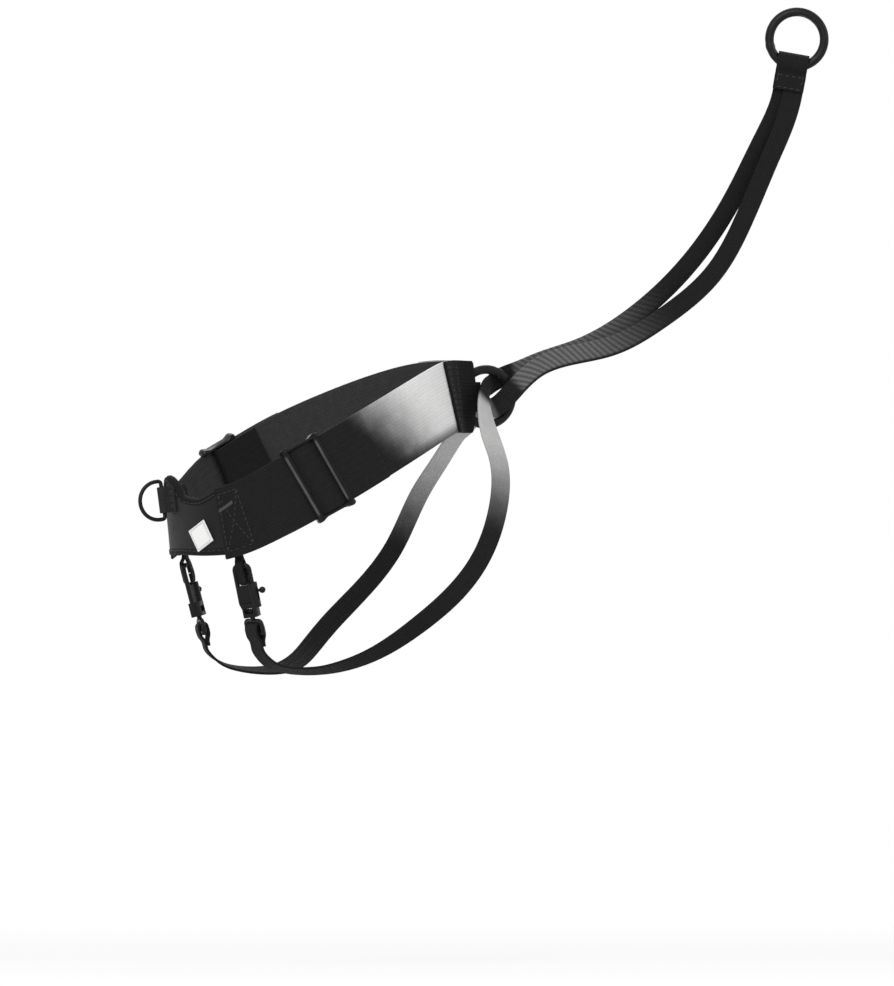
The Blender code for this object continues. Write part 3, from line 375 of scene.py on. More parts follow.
def flowing(knots, values, places):
    """A natural cubic through values at the knots, read at the given places."""
    count = len(knots)
    step = np.diff(knots)
    slope = np.diff(values, axis=0) / step[:, None]
    system = np.eye(count)
    right = np.zeros_like(values)
    for i in range(1, count - 1):
        system[i, i - 1:i + 2] = (step[i - 1], 2 * (step[i - 1] + step[i]), step[i])
        right[i] = 6 * (slope[i] - slope[i - 1])
    bend = np.linalg.solve(system, right)
    span = np.clip(np.searchsorted(knots, places, side="right") - 1, 0, count - 2)
    h = step[span][:, None]
    a = (knots[span + 1] - places)[:, None]
    b = (places - knots[span])[:, None]
    cubic = (bend[span] * a ** 3 + bend[span + 1] * b ** 3) / (6 * h)
    low = values[span] / h - bend[span] * h / 6
    high = values[span + 1] / h - bend[span + 1] * h / 6
    return cubic + low * a + high * b


def firm(knots, values, places):
    """A cubic through values at the knots that keeps between neighbouring values."""
    step = np.diff(knots)[:, None]
    slope = np.diff(values, axis=0) / step
    before, after = slope[:-1], slope[1:]
    weight = step[:-1] + 2 * step[1:], 2 * step[:-1] + step[1:]
    with np.errstate(divide="ignore", invalid="ignore"):
        mean = (weight[0] + weight[1]) / (weight[0] / before + weight[1] / after)
    grade = np.vstack([slope[:1], np.where(before * after > 0, mean, 0), slope[-1:]])
    span = np.clip(np.searchsorted(knots, places, side="right") - 1, 0, len(knots) - 2)
    h = step[span]
    t = (places - knots[span])[:, None] / h
    start = values[span] * (1 + 2 * t) * (1 - t) ** 2 + grade[span] * h * t * (1 - t) ** 2
    end = values[span + 1] * t ** 2 * (3 - 2 * t) - grade[span + 1] * h * t ** 2 * (1 - t)
    return start + end


class Route:
    """A curve through points, read by the distance along it. Facing directions can ride along."""

    def __init__(self, points, facings=None, spline=flowing):
        points = np.array([tuple(p) for p in points], float)
        chord = np.concatenate([[0], np.cumsum(np.linalg.norm(np.diff(points, axis=0), axis=1))])
        parts = [np.linspace(a, b, 40, endpoint=False) for a, b in zip(chord, chord[1:])]
        fine = np.concatenate(parts + [chord[-1:]])
        self.places = spline(chord, points, fine)
        steps = np.linalg.norm(np.diff(self.places, axis=0), axis=1)
        self.along = np.concatenate([[0], np.cumsum(steps)])
        self.knots = np.interp(chord, fine, self.along)
        self.length = self.along[-1]
        if facings is not None:
            facings = np.array([tuple(f) for f in facings], float)
            self.facings = np.array([np.interp(fine, chord, facings[:, k]) for k in range(3)]).T

    def read(self, table, distance):
        return Vector([float(np.interp(distance, self.along, table[:, k])) for k in range(3)])

    def point(self, distance):
        return self.read(self.places, distance)

    def facing(self, distance):
        return self.read(self.facings, distance)

    def tangent(self, distance, reach=0.1 * MM):
        low = max(distance - reach, 0)
        high = min(distance + reach, self.length)
        return (self.point(high) - self.point(low)).normalized()

    def stops(self, spacing, low=0.0, high=None, bend=math.radians(7)):
        """Distances from low to high: closer together where the route bends."""
        high = self.length if high is None else high
        marks = [low]
        turned = 0.0
        fine = np.diff(self.places, axis=0)
        for i in range(1, len(fine)):
            if not low < self.along[i] < high - 0.3 * spacing:
                continue
            turned += Vector(fine[i - 1]).angle(Vector(fine[i]), 0)
            gap = self.along[i] - marks[-1]
            if gap > spacing or (turned > bend and gap > 0.25 * spacing):
                marks.append(self.along[i])
                turned = 0.0
        return marks + [high]


def ease(share):
    share = min(max(share, 0), 1)
    return share * share * (3 - 2 * share)


def flip(point):
    return Vector((point[0], -point[1], point[2]))


class NeckLoop:
    """The loop round the neck, read by distance from the chest, height across it and distance out of it."""

    def __init__(self):
        close = RING_WIRE / 2 + GAP + BAND_THICK / 2 - BAND_LAYER
        left = [Vector(p) * MM for p in NECK_ROUTE]
        left += [Vector((x * MM, -close * share, z * MM)) for x, share, z in NECK_CLOSE]
        right = [flip(p) for p in reversed(left[1:])]
        self.route = Route(right + left)
        self.middle = self.route.knots[len(right)]
        self.length = self.route.length - self.middle

    def frame(self, s):
        place = self.route.point(self.middle + s)
        along = self.route.tangent(self.middle + s)
        out = Vector((along.y, -along.x, 0)).normalized()
        chest = (1 + math.cos(math.pi * min(s / CHEST_EASE, 1))) / 2
        low, high = SHOULDER_EASE
        shoulder = ease((s - low) / (high - low)) * ease((self.length - s) / SLEEVE_LENGTH)
        tilt = SHOULDER_TILT * shoulder - CHEST_TILT * chest
        out = out * math.cos(tilt) + Vector((0, 0, math.sin(tilt)))
        out = (out - along * out.dot(along)).normalized()
        return place, along, out.cross(along), out

    def at(self, s, v=0.0, h=0.0):
        place, _, up, out = self.frame(abs(s))
        point = place + up * v + out * h
        return point if s >= 0 else flip(point)


def snap_axes():
    """The left snap's own axes: x to its stud, z up its axis, origin on the swivel's face."""
    along = NECK.frame(CLIP_PLACE)[1]
    level = LINING_BACK - GAP - TAPE_THICK - GAP / 2
    crown = NECK.at(CLIP_PLACE, -(BAND_WIDTH / 2 + SNAP_HANG), level)
    across = (along - SNAP_UP * along.dot(SNAP_UP)).normalized()
    foot = crown - SNAP_UP * SNAP_CROWN - across * (SNAP_SPINE + SNAP_GATE) / 2
    return Matrix.Translation(foot) @ Matrix((across, SNAP_UP.cross(across), SNAP_UP)).transposed().to_4x4()


# Places and directions that follow from the sizes
NECK = NeckLoop()
SNAP_AXES = snap_axes()
_, DEE_LEFT, DEE_UP, DEE_FORWARD = NECK.frame(0)
DEE_BAR = NECK.at(0, DEE_LEVEL, YOKE_FACE + GAP * 2 + TAPE_THICK * 2 + DEE_WIRE / 2)
LEAD_SIDE = Vector((math.cos(LEAD_TURN), -math.sin(LEAD_TURN), 0))
LEAD_THROUGH = Vector((math.sin(LEAD_TURN), math.cos(LEAD_TURN), 0))
LEAD_ACROSS = LEAD_SIDE * math.cos(LEAD_LEAN) - Vector((0, 0, math.sin(LEAD_LEAN)))
LEAD_RISE = LEAD_SIDE * math.sin(LEAD_LEAN) + Vector((0, 0, math.cos(LEAD_LEAN)))
RING_FOOT = -RING_RADIUS - RING_WIRE / 2
BORE_FOOT = -math.sqrt((RING_BORE / 2) ** 2 - (KEEPER_WIDTH / 2) ** 2)
LEAD_HINGE = (RING_FOOT + BORE_FOOT) / 2
LEAD_ROOM = (BORE_FOOT - RING_FOOT) / 2 + GAP
STRAND_STOP = RING_FOOT - STRAND_CLEAR


def arc(centre, radius, start, end, steps, across, up):
    turns = [math.radians(start + (end - start) * k / steps) for k in range(steps + 1)]
    return [centre + (across * math.cos(t) + up * math.sin(t)) * radius for t in turns]


def fold_round(centre, down, facing, radius, spread, tail, lead, sag=Vector()):
    """Middle line of a strap that comes up one face, goes over a bar and down the other face."""
    reach = radius * 2.2
    swell = radius - spread
    turn = [(reach * k / 4, spread + swell * (1 + math.cos(math.pi * k / 4)) / 2) for k in (4, 3, 2, 1)]
    straight = reach * 1.25
    first = [(max(tail, straight * 1.1), spread), (straight, spread)] + turn
    last = [(max(lead, straight * 1.1), spread), (straight, spread)] + turn
    over = arc(centre + sag, radius, 180, 0, 8, facing, -down)
    return ([centre + down * d - facing * f for d, f in first] + over
            + [centre + down * d + facing * f for d, f in reversed(last)])


def lead_at(x, y, z):
    return LEAD_CENTRE + LEAD_ACROSS * x + LEAD_THROUGH * y + LEAD_RISE * z


# Finishes

class Finish:
    """A material whose colour, roughness and relief come from nodes."""

    def __init__(self, name, roughness=0.5, **sockets):
        self.material = bpy.data.materials.new(name)
        self.material.use_nodes = True
        self.tree = self.material.node_tree
        self.shader = self.tree.nodes["Principled BSDF"]
        self.shader.inputs["Roughness"].default_value = roughness
        for socket, value in sockets.items():
            self.shader.inputs[socket.replace("_", " ")].default_value = value

    def node(self, kind, *inputs, **settings):
        made = self.tree.nodes.new(kind)
        for key, value in settings.items():
            setattr(made, key, value)
        for index, value in inputs:
            self.feed(made.inputs[index], value)
        return made

    def feed(self, socket, value):
        if isinstance(value, bpy.types.NodeSocket):
            self.tree.links.new(value, socket)
        elif socket.type == "RGBA" and len(value) == 3:
            socket.default_value = (*value, 1)
        else:
            socket.default_value = value

    def sum(self, operation, *values):
        made = self.node("ShaderNodeMath", *enumerate(values), operation=operation)
        return made.outputs[0]

    def span(self, value, low, high, start=0.0, end=1.0):
        """Ease from start to end as value goes from low to high."""
        made = self.node("ShaderNodeMapRange", (0, value), (1, low), (2, high), (3, start), (4, end),
                         interpolation_type="SMOOTHSTEP")
        return made.outputs[0]

    def mix(self, share, a, b):
        return self.node("ShaderNodeMix", (0, share), (6, a), (7, b), data_type="RGBA").outputs[2]

    def noise(self, vector, scale, detail=3.0):
        return self.node("ShaderNodeTexNoise", (0, vector), (2, scale), (3, detail)).outputs[0]

    def place(self):
        return self.node("ShaderNodeTexCoord").outputs["Object"]

    def cloth(self):
        """Distance along and across the piece, and both together."""
        uv = self.node("ShaderNodeUVMap", uv_map="weave").outputs[0]
        apart = self.node("ShaderNodeSeparateXYZ", (0, uv))
        return apart.outputs[0], apart.outputs[1], uv

    def relief(self, height, depth, strength=1.0):
        bump = self.node("ShaderNodeBump", (0, strength), (1, depth), (3, height))
        self.feed(self.shader.inputs["Normal"], bump.outputs[0])

    def colour(self, value):
        self.feed(self.shader.inputs["Base Color"], value)
        return self.material

    def rough(self, value):
        self.feed(self.shader.inputs["Roughness"], value)


def shade(value, level):
    return tuple(min(c * level, 1) for c in value)


def woven(finish, cloth, rib=None):
    """Chevron columns of yarn: gives the height of the weave from 0 to 1."""
    along, across, _ = finish.cloth()
    rib = rib or cloth.rib
    slant = finish.sum("PINGPONG", across, cloth.column)
    turns = finish.sum("MULTIPLY", finish.sum("ADD", along, slant), 2 * math.pi / rib)
    yarn = finish.sum("MULTIPLY_ADD", finish.sum("SINE", turns), 0.5, 0.5)
    groove = finish.sum("PINGPONG", across, cloth.column / 2)
    column = finish.span(groove, 0, cloth.column * 0.3, 0.35, 1)
    return finish.sum("MULTIPLY", yarn, column)


def webbing_finish(name, cloth, fade=None, wear=None, base=None, ahead=0.0):
    """Ribbed webbing, its grooves drawn darker and its yarn tops lighter as painted shade and light.

    A highlight is (full up to, black from, slant, black end, level, shaded edge): a painted highlight, light grey
    towards the end, which is a length ahead of where this piece ends. A grey stretch is (start, full from, full to,
    end) of painted highlight."""
    finish = Finish(name, Specular_IOR_Level=0.15, Sheen_Weight=0.02, Sheen_Roughness=0.4)
    along, across, uv = finish.cloth()
    height = woven(finish, cloth)
    base = tuple(base or cloth.webbing)
    patchy = finish.noise(uv, 260, 4)
    tone = finish.mix(patchy, shade(base, 0.75), shade(base, 1.35))
    # Painted highlight on the lead strands: a grey stretch with slanting ribs, kept off one edge.
    if wear:
        ribs = finish.sum("ADD", finish.sum("MULTIPLY", along, 2.0), finish.sum("MULTIPLY", across, 1.6))
        ribs = finish.sum("SINE", finish.sum("MULTIPLY", ribs, 2 * math.pi / (6.4 * MM)))
        grey = finish.mix(finish.span(ribs, -1, 1), shade(cloth.worn, 0.62), shade(cloth.worn, 1.25))
        low, rise, fall, end = wear
        near = finish.span(along, low, rise)
        far = finish.span(along, fall, end, 1, 0)
        edge = finish.span(across, -STRAP_WIDTH * 0.42, -STRAP_WIDTH * 0.3)
        share = finish.sum("MULTIPLY", finish.sum("MULTIPLY", near, far), edge)
        tone = finish.mix(share, tone, grey)
    # Painted highlight: light grey towards the piece's end, slanted across the width and streaked. It can be kept black
    # for a stretch at its end, where it lies in shade, and held off the lower edge, which faces down into shade.
    if fade:
        start, end, slant, dark, level, hem = fade
        along = finish.sum("ADD", along, ahead)
        uv = finish.node("ShaderNodeVectorMath", (0, uv), (1, (ahead, 0, 0))).outputs[0]
        reach = finish.sum("MULTIPLY_ADD", across, -slant, along)
        streak = finish.noise(uv, 90, 3)
        reach = finish.sum("MULTIPLY_ADD", streak, 0.012, finish.sum("SUBTRACT", reach, 0.006))
        share = finish.span(reach, start, end, 1, 0)
        share = finish.sum("MULTIPLY", share, finish.span(along, dark, dark + 7 * MM))
        if hem:
            share = finish.sum("MULTIPLY", share, finish.span(across, *hem))
        light = finish.mix(patchy, shade(cloth.pale, 0.94 * level), shade(cloth.pale, 1.06 * level))
        tone = finish.mix(share, tone, light)
    # Painted shade and light in the weave: grooves drawn darker, yarn tops lighter.
    dim = finish.mix(height, (0.78, 0.78, 0.78), (1.08, 1.08, 1.08))
    tone = finish.node("ShaderNodeMix", (0, 1.0), (6, tone), (7, dim), data_type="RGBA", blend_type="MULTIPLY")
    finish.rough(finish.span(height, 0, 1, 0.86, 0.62))
    finish.relief(height, cloth.rib_depth)
    return finish.colour(tone.outputs[2])


def panel_finish(cloth):
    """Smooth close-knit face of the yoke, darker towards its wings by painted shade."""
    finish = Finish("yoke_panel", Specular_IOR_Level=0.15, Sheen_Weight=0.02, Sheen_Roughness=0.35)
    along, _, uv = finish.cloth()
    knit = finish.node("ShaderNodeTexVoronoi", (0, uv), (2, 2100.0)).outputs[0]
    broad = finish.noise(uv, 55, 3)
    tone = finish.mix(broad, shade(cloth.panel, 0.82), shade(cloth.panel, 1.2))
    tone = finish.mix(finish.span(knit, 0, 0.6), shade(cloth.panel, 1.25), tone)
    # Painted shade: the panel turns darker towards both wings.
    wing = finish.span(finish.sum("ABSOLUTE", along), 2 * MM, 34 * MM)
    tone = finish.mix(wing, tone, shade(cloth.panel, 0.4))
    finish.rough(finish.span(broad, 0.3, 0.7, 0.5, 0.66))
    finish.relief(finish.sum("SUBTRACT", 1.0, knit), 0.00008)
    return finish.colour(tone)


def lining_finish(cloth):
    """Open spacer mesh on the padded inside of the yoke, its holes drawn darker as painted shade."""
    finish = Finish("yoke_lining", Specular_IOR_Level=0.2, Sheen_Weight=0.12, Sheen_Roughness=0.5)
    along, across, uv = finish.cloth()
    row = finish.sum("SINE", finish.sum("MULTIPLY", along, 2 * math.pi / 2.6e-3))
    line = finish.sum("SINE", finish.sum("MULTIPLY", across, 2 * math.pi / 2.2e-3))
    hole = finish.span(finish.sum("MULTIPLY", row, line), 0.25, 0.75)
    fuzz = finish.noise(uv, 1500, 2)
    tone = finish.mix(fuzz, shade(cloth.lining, 0.8), shade(cloth.lining, 1.3))
    # Painted shade in the mesh's holes.
    tone = finish.mix(hole, tone, shade(cloth.lining, 0.25))
    height = finish.sum("SUBTRACT", finish.sum("MULTIPLY", fuzz, 0.3), hole)
    finish.rough(finish.span(fuzz, 0.3, 0.7, 0.75, 0.9))
    finish.relief(height, 0.00035)
    return finish.colour(tone)


def patch_finish(cloth):
    """Fine damask of the sewn patch, a little greyer at its folded edge."""
    finish = Finish("patch_weave", Specular_IOR_Level=0.25, Sheen_Weight=0.08)
    along, across, uv = finish.cloth()
    warp = finish.sum("SINE", finish.sum("MULTIPLY", along, 2 * math.pi / 0.5e-3))
    weft = finish.sum("SINE", finish.sum("MULTIPLY", across, 2 * math.pi / 0.5e-3))
    height = finish.sum("MULTIPLY_ADD", finish.sum("MULTIPLY", warp, weft), 0.5, 0.5)
    rim = finish.sum("MAXIMUM", finish.sum("ABSOLUTE", along), finish.sum("ABSOLUTE", across))
    edge = finish.span(rim, PATCH_SIDE * 0.36, PATCH_SIDE * 0.41)
    tone = finish.mix(finish.noise(uv, 700, 2), shade(cloth.patch, 0.9), shade(cloth.patch, 1.06))
    tone = finish.mix(finish.sum("MULTIPLY", edge, 0.35), tone, shade(cloth.patch, 0.7))
    finish.rough(finish.span(height, 0, 1, 0.8, 0.65))
    finish.relief(height, 0.00006)
    return finish.colour(tone)


def thread_finish(cloth, name="thread", level=1.0):
    finish = Finish(name, Specular_IOR_Level=0.35, Sheen_Weight=0.1)
    twist = finish.noise(finish.place(), 4200, 2)
    finish.rough(finish.span(twist, 0.3, 0.7, 0.5, 0.7))
    finish.relief(twist, 0.00005)
    return finish.colour(finish.mix(twist, shade(cloth.thread, 0.7 * level), shade(cloth.thread, 1.5 * level)))


def metal_finish(metal, name, wear=None):
    """Black plated metal. Wear is (centre, axis, near, far): bare where webbing runs inside a ring."""
    finish = Finish(name, Specular_IOR_Level=0.16)
    place = finish.place()
    grain = finish.noise(place, 900, 4)
    cloudy = finish.noise(place, 160, 3)
    tone = finish.mix(cloudy, shade(metal.black, 0.75), shade(metal.black, 1.5))
    if wear:
        centre, axis, near, far = wear
        away = finish.node("ShaderNodeVectorMath", (0, place), (1, centre), operation="SUBTRACT").outputs[0]
        lift = finish.node("ShaderNodeVectorMath", (0, away), (1, axis), operation="DOT_PRODUCT").outputs["Value"]
        reach = finish.node("ShaderNodeVectorMath", (0, away), operation="LENGTH").outputs["Value"]
        reach = finish.sum("SQRT", finish.sum("SUBTRACT", finish.sum("POWER", reach, 2.0), finish.sum("POWER", lift, 2.0)))
        rubbed = finish.sum("MULTIPLY", finish.span(reach, near, far, 1, 0), finish.span(cloudy, 0.5, 0.68))
        tone = finish.mix(finish.sum("MULTIPLY", rubbed, 0.5), tone, tuple(metal.bare))
    finish.rough(finish.span(grain, 0.3, 0.7, 0.32, 0.46))
    finish.relief(grain, 0.00003, 0.6)
    return finish.colour(tone)


def plastic_finish(metal):
    """Moulded plastic with a fine spark-eroded grain, and a painted highlight: a grey line along the front of both
    outer bars.
    """
    finish = Finish("slider_plastic", Specular_IOR_Level=0.14)
    place = finish.place()
    grain = finish.noise(place, 3800, 3)
    flow = finish.noise(place, 120, 2)
    tone = finish.mix(flow, shade(metal.plastic, 0.8), shade(metal.plastic, 1.4))
    middle, along, up, _ = NECK.frame(SLIDER_PLACE)
    apart = finish.node("ShaderNodeSeparateXYZ", (0, place)).outputs
    near = finish.node("ShaderNodeCombineXYZ", (0, apart[0]), (2, apart[2]),
                       (1, finish.sum("MULTIPLY", finish.sum("ABSOLUTE", apart[1]), -1.0))).outputs[0]
    away = finish.node("ShaderNodeVectorMath", (0, near), (1, middle), operation="SUBTRACT").outputs[0]
    ahead, height = (finish.node("ShaderNodeVectorMath", (0, away), (1, way), operation="DOT_PRODUCT").outputs["Value"]
                     for way in (along, up))
    # Painted highlight: a grey line on the front crest of each outer bar, inside the band's width, streaked by noise.
    front = finish.sum("ABSOLUTE", finish.sum("ADD", ahead, SLIDER_BAR * 0.25))
    crest = finish.span(finish.sum("ABSOLUTE", finish.sum("SUBTRACT", front, BAR_STEP)), 0.2 * MM, 0.9 * MM, 1, 0)
    inside = finish.span(finish.sum("ABSOLUTE", height), BAND_WIDTH * 0.44, BAND_WIDTH * 0.5, 1, 0)
    rubbed = finish.sum("MULTIPLY", finish.sum("MULTIPLY", crest, inside), finish.span(flow, 0.3, 0.7, 0.7, 1))
    tone = finish.mix(rubbed, tone, tuple(metal.rubbed))
    finish.rough(finish.span(flow, 0.3, 0.7, 0.2, 0.28))
    finish.relief(grain, 0.00002, 0.4)
    return finish.colour(tone)


def steel_finish(metal):
    finish = Finish("spring_steel", Metallic=1.0)
    drawn = finish.noise(finish.place(), 2600, 3)
    finish.rough(finish.span(drawn, 0.3, 0.7, 0.22, 0.4))
    return finish.colour(finish.mix(drawn, shade(metal.steel, 0.8), shade(metal.steel, 1.1)))


# Making by hand

def clear_choice():
    if bpy.context.object and bpy.context.object.mode != "OBJECT":
        bpy.ops.object.mode_set(mode="OBJECT")
    bpy.ops.object.select_all(action="DESELECT")


def choose(obj):
    clear_choice()
    obj.select_set(True)
    bpy.context.view_layer.objects.active = obj


def apply_modifier(obj, kind, **settings):
    choose(obj)
    modifier = obj.modifiers.new(kind.title(), kind)
    for key, value in settings.items():
        setattr(modifier, key, value)
    bpy.ops.object.modifier_apply(modifier=modifier.name)


def add_grid(name, steps, cells, place):
    """Add a flat grid and move each corner to place(column, row), which also gives its spot on the cloth."""
    clear_choice()
    bpy.ops.mesh.primitive_grid_add(x_subdivisions=steps, y_subdivisions=cells, size=1)
    sheet = bpy.context.object
    sheet.name = sheet.data.name = name
    spots = []
    for vertex in sheet.data.vertices:
        column = round((vertex.co.x + 0.5) * steps)
        row = round((vertex.co.y + 0.5) * cells)
        vertex.co, spot = place(column, row)
        spots.append(spot)
    weave = sheet.data.uv_layers[0]
    weave.name = "weave"
    for loop in sheet.data.loops:
        weave.data[loop.index].uv = spots[loop.vertex_index]
    return sheet


def thicken(sheet, thick, offset=0.0, round_off=0.4, back=0):
    """Give a sheet its thickness and round its edges."""
    apply_modifier(sheet, "SOLIDIFY", thickness=thick, offset=offset, use_even_offset=True,
                   use_quality_normals=True, material_offset=back)
    apply_modifier(sheet, "BEVEL", width=thick * round_off, segments=3, limit_method="ANGLE",
                   angle_limit=math.radians(50))
    bpy.ops.object.shade_smooth()


class Strip:
    """A length of webbing: its stations are (place, direction across, width, direction along or None)."""

    def __init__(self, stations):
        self.stations = []
        self.run = [0.0]
        for i, (place, across, width, along) in enumerate(stations):
            before = stations[max(i - 1, 0)][0]
            after = stations[min(i + 1, len(stations) - 1)][0]
            along = along or (after - before).normalized()
            across = (across - along * across.dot(along)).normalized()
            self.stations.append((place, along, across, width))
            if i:
                self.run.append(self.run[-1] + (place - before).length)

    def lay(self, name, thick, finishes, cells=10, side=1, from_end=False):
        steps = len(self.stations) - 1

        def place(column, row):
            centre, _, across, width = self.stations[column]
            offset = (row / cells - 0.5) * width
            run = self.run[-1] - self.run[column] if from_end else self.run[column]
            return centre + across * offset, (run, offset * side)

        strip = add_grid(name, steps, cells, place)
        for finish in finishes:
            strip.data.materials.append(finish)
        thicken(strip, thick, back=len(finishes) - 1)
        return strip

    def row(self, distance, thick, inset, pitch, face=1):
        """Stitch marks straight across the strip at a distance along it."""
        i = int(np.argmin(np.abs(np.array(self.run) - distance)))
        centre, along, across, width = self.stations[i]
        normal = along.cross(across) * face
        reach = width / 2 - inset
        count = max(int(2 * reach / pitch), 1)
        return [(centre + across * (-reach + 2 * reach * (k + 0.5) / count) + normal * thick / 2, across, normal)
                for k in range(count)]

    def edge(self, low, high, share, thick, pitch, face=1):
        """Stitch marks along the strip at a share of its half width."""
        marks = []
        run = np.array(self.run)
        for d in np.arange(low, high, pitch):
            i = int(np.argmin(np.abs(run - d)))
            centre, along, across, width = self.stations[i]
            normal = along.cross(across) * face
            marks.append((centre + across * (share * width / 2) + normal * thick / 2, along, normal))
        return marks


def neck_run(points, level, pitch, side=1):
    """Stitch marks on the neck loop along a line of (distance, height) corners."""
    marks = []
    for (s0, v0), (s1, v1) in zip(points, points[1:]):
        span = math.hypot(s1 - s0, v1 - v0)
        count = max(int(span / pitch), 1)
        for k in range(count):
            share = (k + 0.5) / count
            s = s0 + (s1 - s0) * share
            v = v0 + (v1 - v0) * share
            place, along, up, out = NECK.frame(abs(s))
            way = (along * (s1 - s0) * (1 if s >= 0 else -1) + up * (v1 - v0)).normalized()
            here = place + up * v + out * level
            if side * (1 if s >= 0 else -1) < 0:
                here, way, out = flip(here), flip(way), flip(out)
            marks.append((here, way, out))
    return marks


def sew(onto, marks, cloth, finish):
    """Model one stitch, copy it to every mark and join the row to the piece it holds."""
    clear_choice()
    bpy.ops.mesh.primitive_uv_sphere_add(segments=8, ring_count=6, radius=0.5)
    pattern = bpy.context.object
    points = np.array([v.co for v in pattern.data.vertices])
    points[:, 0] = np.sign(points[:, 0]) * np.abs(points[:, 0]) ** 0.8 * 0.5 ** 0.2
    faces = [tuple(p.vertices) for p in pattern.data.polygons]
    bpy.data.objects.remove(pattern, do_unlink=True)
    size = np.array([cloth.stitch, cloth.stitch_thick, cloth.stitch_thick * 0.9])
    verts, polygons = [], []
    for place, along, normal in marks:
        axes = np.array([along, normal.cross(along), normal])
        first = len(verts)
        verts += (np.array(place) + (points * size) @ axes).tolist()
        polygons += [tuple(first + k for k in face) for face in faces]
    data = bpy.data.meshes.new("stitches")
    data.from_pydata(verts, [], polygons)
    data.uv_layers.new(name="weave")
    data.shade_smooth()
    data.materials.append(finish)
    row = bpy.data.objects.new("stitches", data)
    bpy.context.scene.collection.objects.link(row)
    clear_choice()
    row.select_set(True)
    choose_more(onto)
    bpy.ops.object.join()


def choose_more(obj):
    obj.select_set(True)
    bpy.context.view_layer.objects.active = obj


def bend_wire(name, points, radius, finish, closed=False):
    """Add a path, put its points in place, give it a round section and turn it into a mesh."""
    clear_choice()
    bpy.ops.curve.primitive_nurbs_path_add()
    wire = bpy.context.object
    wire.name = wire.data.name = name
    wire.data.splines.clear()
    spline = wire.data.splines.new("POLY")
    spline.points.add(len(points) - 1)
    for slot, point in zip(spline.points, points):
        slot.co = (*point, 1)
    spline.use_cyclic_u = closed
    wire.data.bevel_depth = radius
    wire.data.bevel_resolution = 6
    wire.data.use_fill_caps = True
    bpy.ops.object.convert(target="MESH")
    wire = bpy.context.object
    wire.data.materials.append(finish)
    bpy.ops.object.shade_smooth()
    return wire


def refine(node, name, round_off, finish, angle=38):
    """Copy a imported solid, merge its triangles, round its edges and smooth it."""
    clear_choice()
    copy = bpy.data.objects.new(name, frame["nodes"][node].data.copy())
    bpy.context.scene.collection.objects.link(copy)
    choose(copy)
    copy.data.materials.clear()
    copy.data.materials.append(finish)
    bpy.ops.mesh.customdata_custom_splitnormals_clear()
    bpy.ops.object.mode_set(mode="EDIT")
    bpy.ops.mesh.select_all(action="SELECT")
    bpy.ops.mesh.remove_doubles(threshold=0.00002)
    bpy.ops.mesh.dissolve_limited(angle_limit=math.radians(2))
    bpy.ops.object.mode_set(mode="OBJECT")
    if round_off:
        apply_modifier(copy, "BEVEL", width=round_off, segments=2, limit_method="ANGLE",
                       angle_limit=math.radians(angle), use_clamp_overlap=True)
    bpy.ops.object.shade_smooth_by_angle(angle=math.radians(angle))
    return copy


def settle(piece, body, slot, *nodes):
    """The piece rides on its body, stands for its solids and takes the slot's finish."""
    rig.replaces(piece, *nodes)
    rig.slot(piece, slot)
    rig.ride(piece, body)


# Chest yoke

def yoke_edge(s, edge):
    """Height of the yoke's top or bottom edge above the neck loop's middle line."""
    knots, heights = np.array(edge, float).T
    place = np.array([min(abs(s) / MM, knots[-1])])
    return float(flowing(knots, heights[:, None], place)[0][0]) * MM


def yoke_span(s):
    """Bottom and top of the yoke at s, with rounded wing corners."""
    over = max(abs(s) - (YOKE_REACH - YOKE_CORNER), 0)
    drop = YOKE_CORNER - math.sqrt(max(YOKE_CORNER ** 2 - over ** 2, 0))
    return yoke_edge(s, YOKE_BOTTOM) + drop, yoke_edge(s, YOKE_TOP) - drop


def yoke_sheet(name, level, steps=128, cells=28, trim=0.0):
    """A grid of the yoke's outline at a level out of the neck loop."""
    def place(column, row):
        s = (YOKE_REACH - trim) * math.sin(math.pi * (column / steps - 0.5))
        low, high = yoke_span(s)
        v = low + trim + (high - low - 2 * trim) * row / cells
        return NECK.at(s, v, level), (s, v)
    return add_grid(name, steps, cells, place)


def make_panel(cloth):
    panel = yoke_sheet("chest_yoke_panel", YOKE_FACE)
    panel.data.materials.append(panel_finish(cloth))
    thicken(panel, SHELL_THICK, offset=-1, round_off=0.3)
    settle(panel, "harness", "yoke_panel", "chest_yoke_shell")


def make_lining(cloth):
    """The pad swells towards the chest and is drawn in where the binding holds it."""
    steps, cells = 128, 28
    pad = yoke_sheet("chest_yoke_pad", LINING_FACE, steps, cells)
    pad.data.materials.append(lining_finish(cloth))
    count = len(pad.data.vertices)
    flat = [(pad.data.vertices[i].co.copy()) for i in range(count)]
    apply_modifier(pad, "SOLIDIFY", thickness=LINING_EDGE, offset=-1, use_even_offset=True)
    shares = [((i % (steps + 1)) / steps, (i // (steps + 1)) / cells) for i in range(count)]
    for i, (column, row) in enumerate(shares):
        s = YOKE_REACH * math.sin(math.pi * (column - 0.5))
        away = max(1 - (abs(s) / (CLIP_PLACE - CLIP_WIDTH)) ** 2, 0)
        swell = LINING_CROWN * math.sin(math.pi * row) ** 0.9 * away
        back = pad.data.vertices[i + count]
        back.co += (back.co - flat[i]).normalized() * swell
    apply_modifier(pad, "BEVEL", width=0.4 * MM, segments=3, limit_method="ANGLE", angle_limit=math.radians(55))
    bpy.ops.object.shade_smooth()
    settle(pad, "harness", "yoke_panel", "chest_yoke_lining")
    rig.padded(pad, fill=0.5)


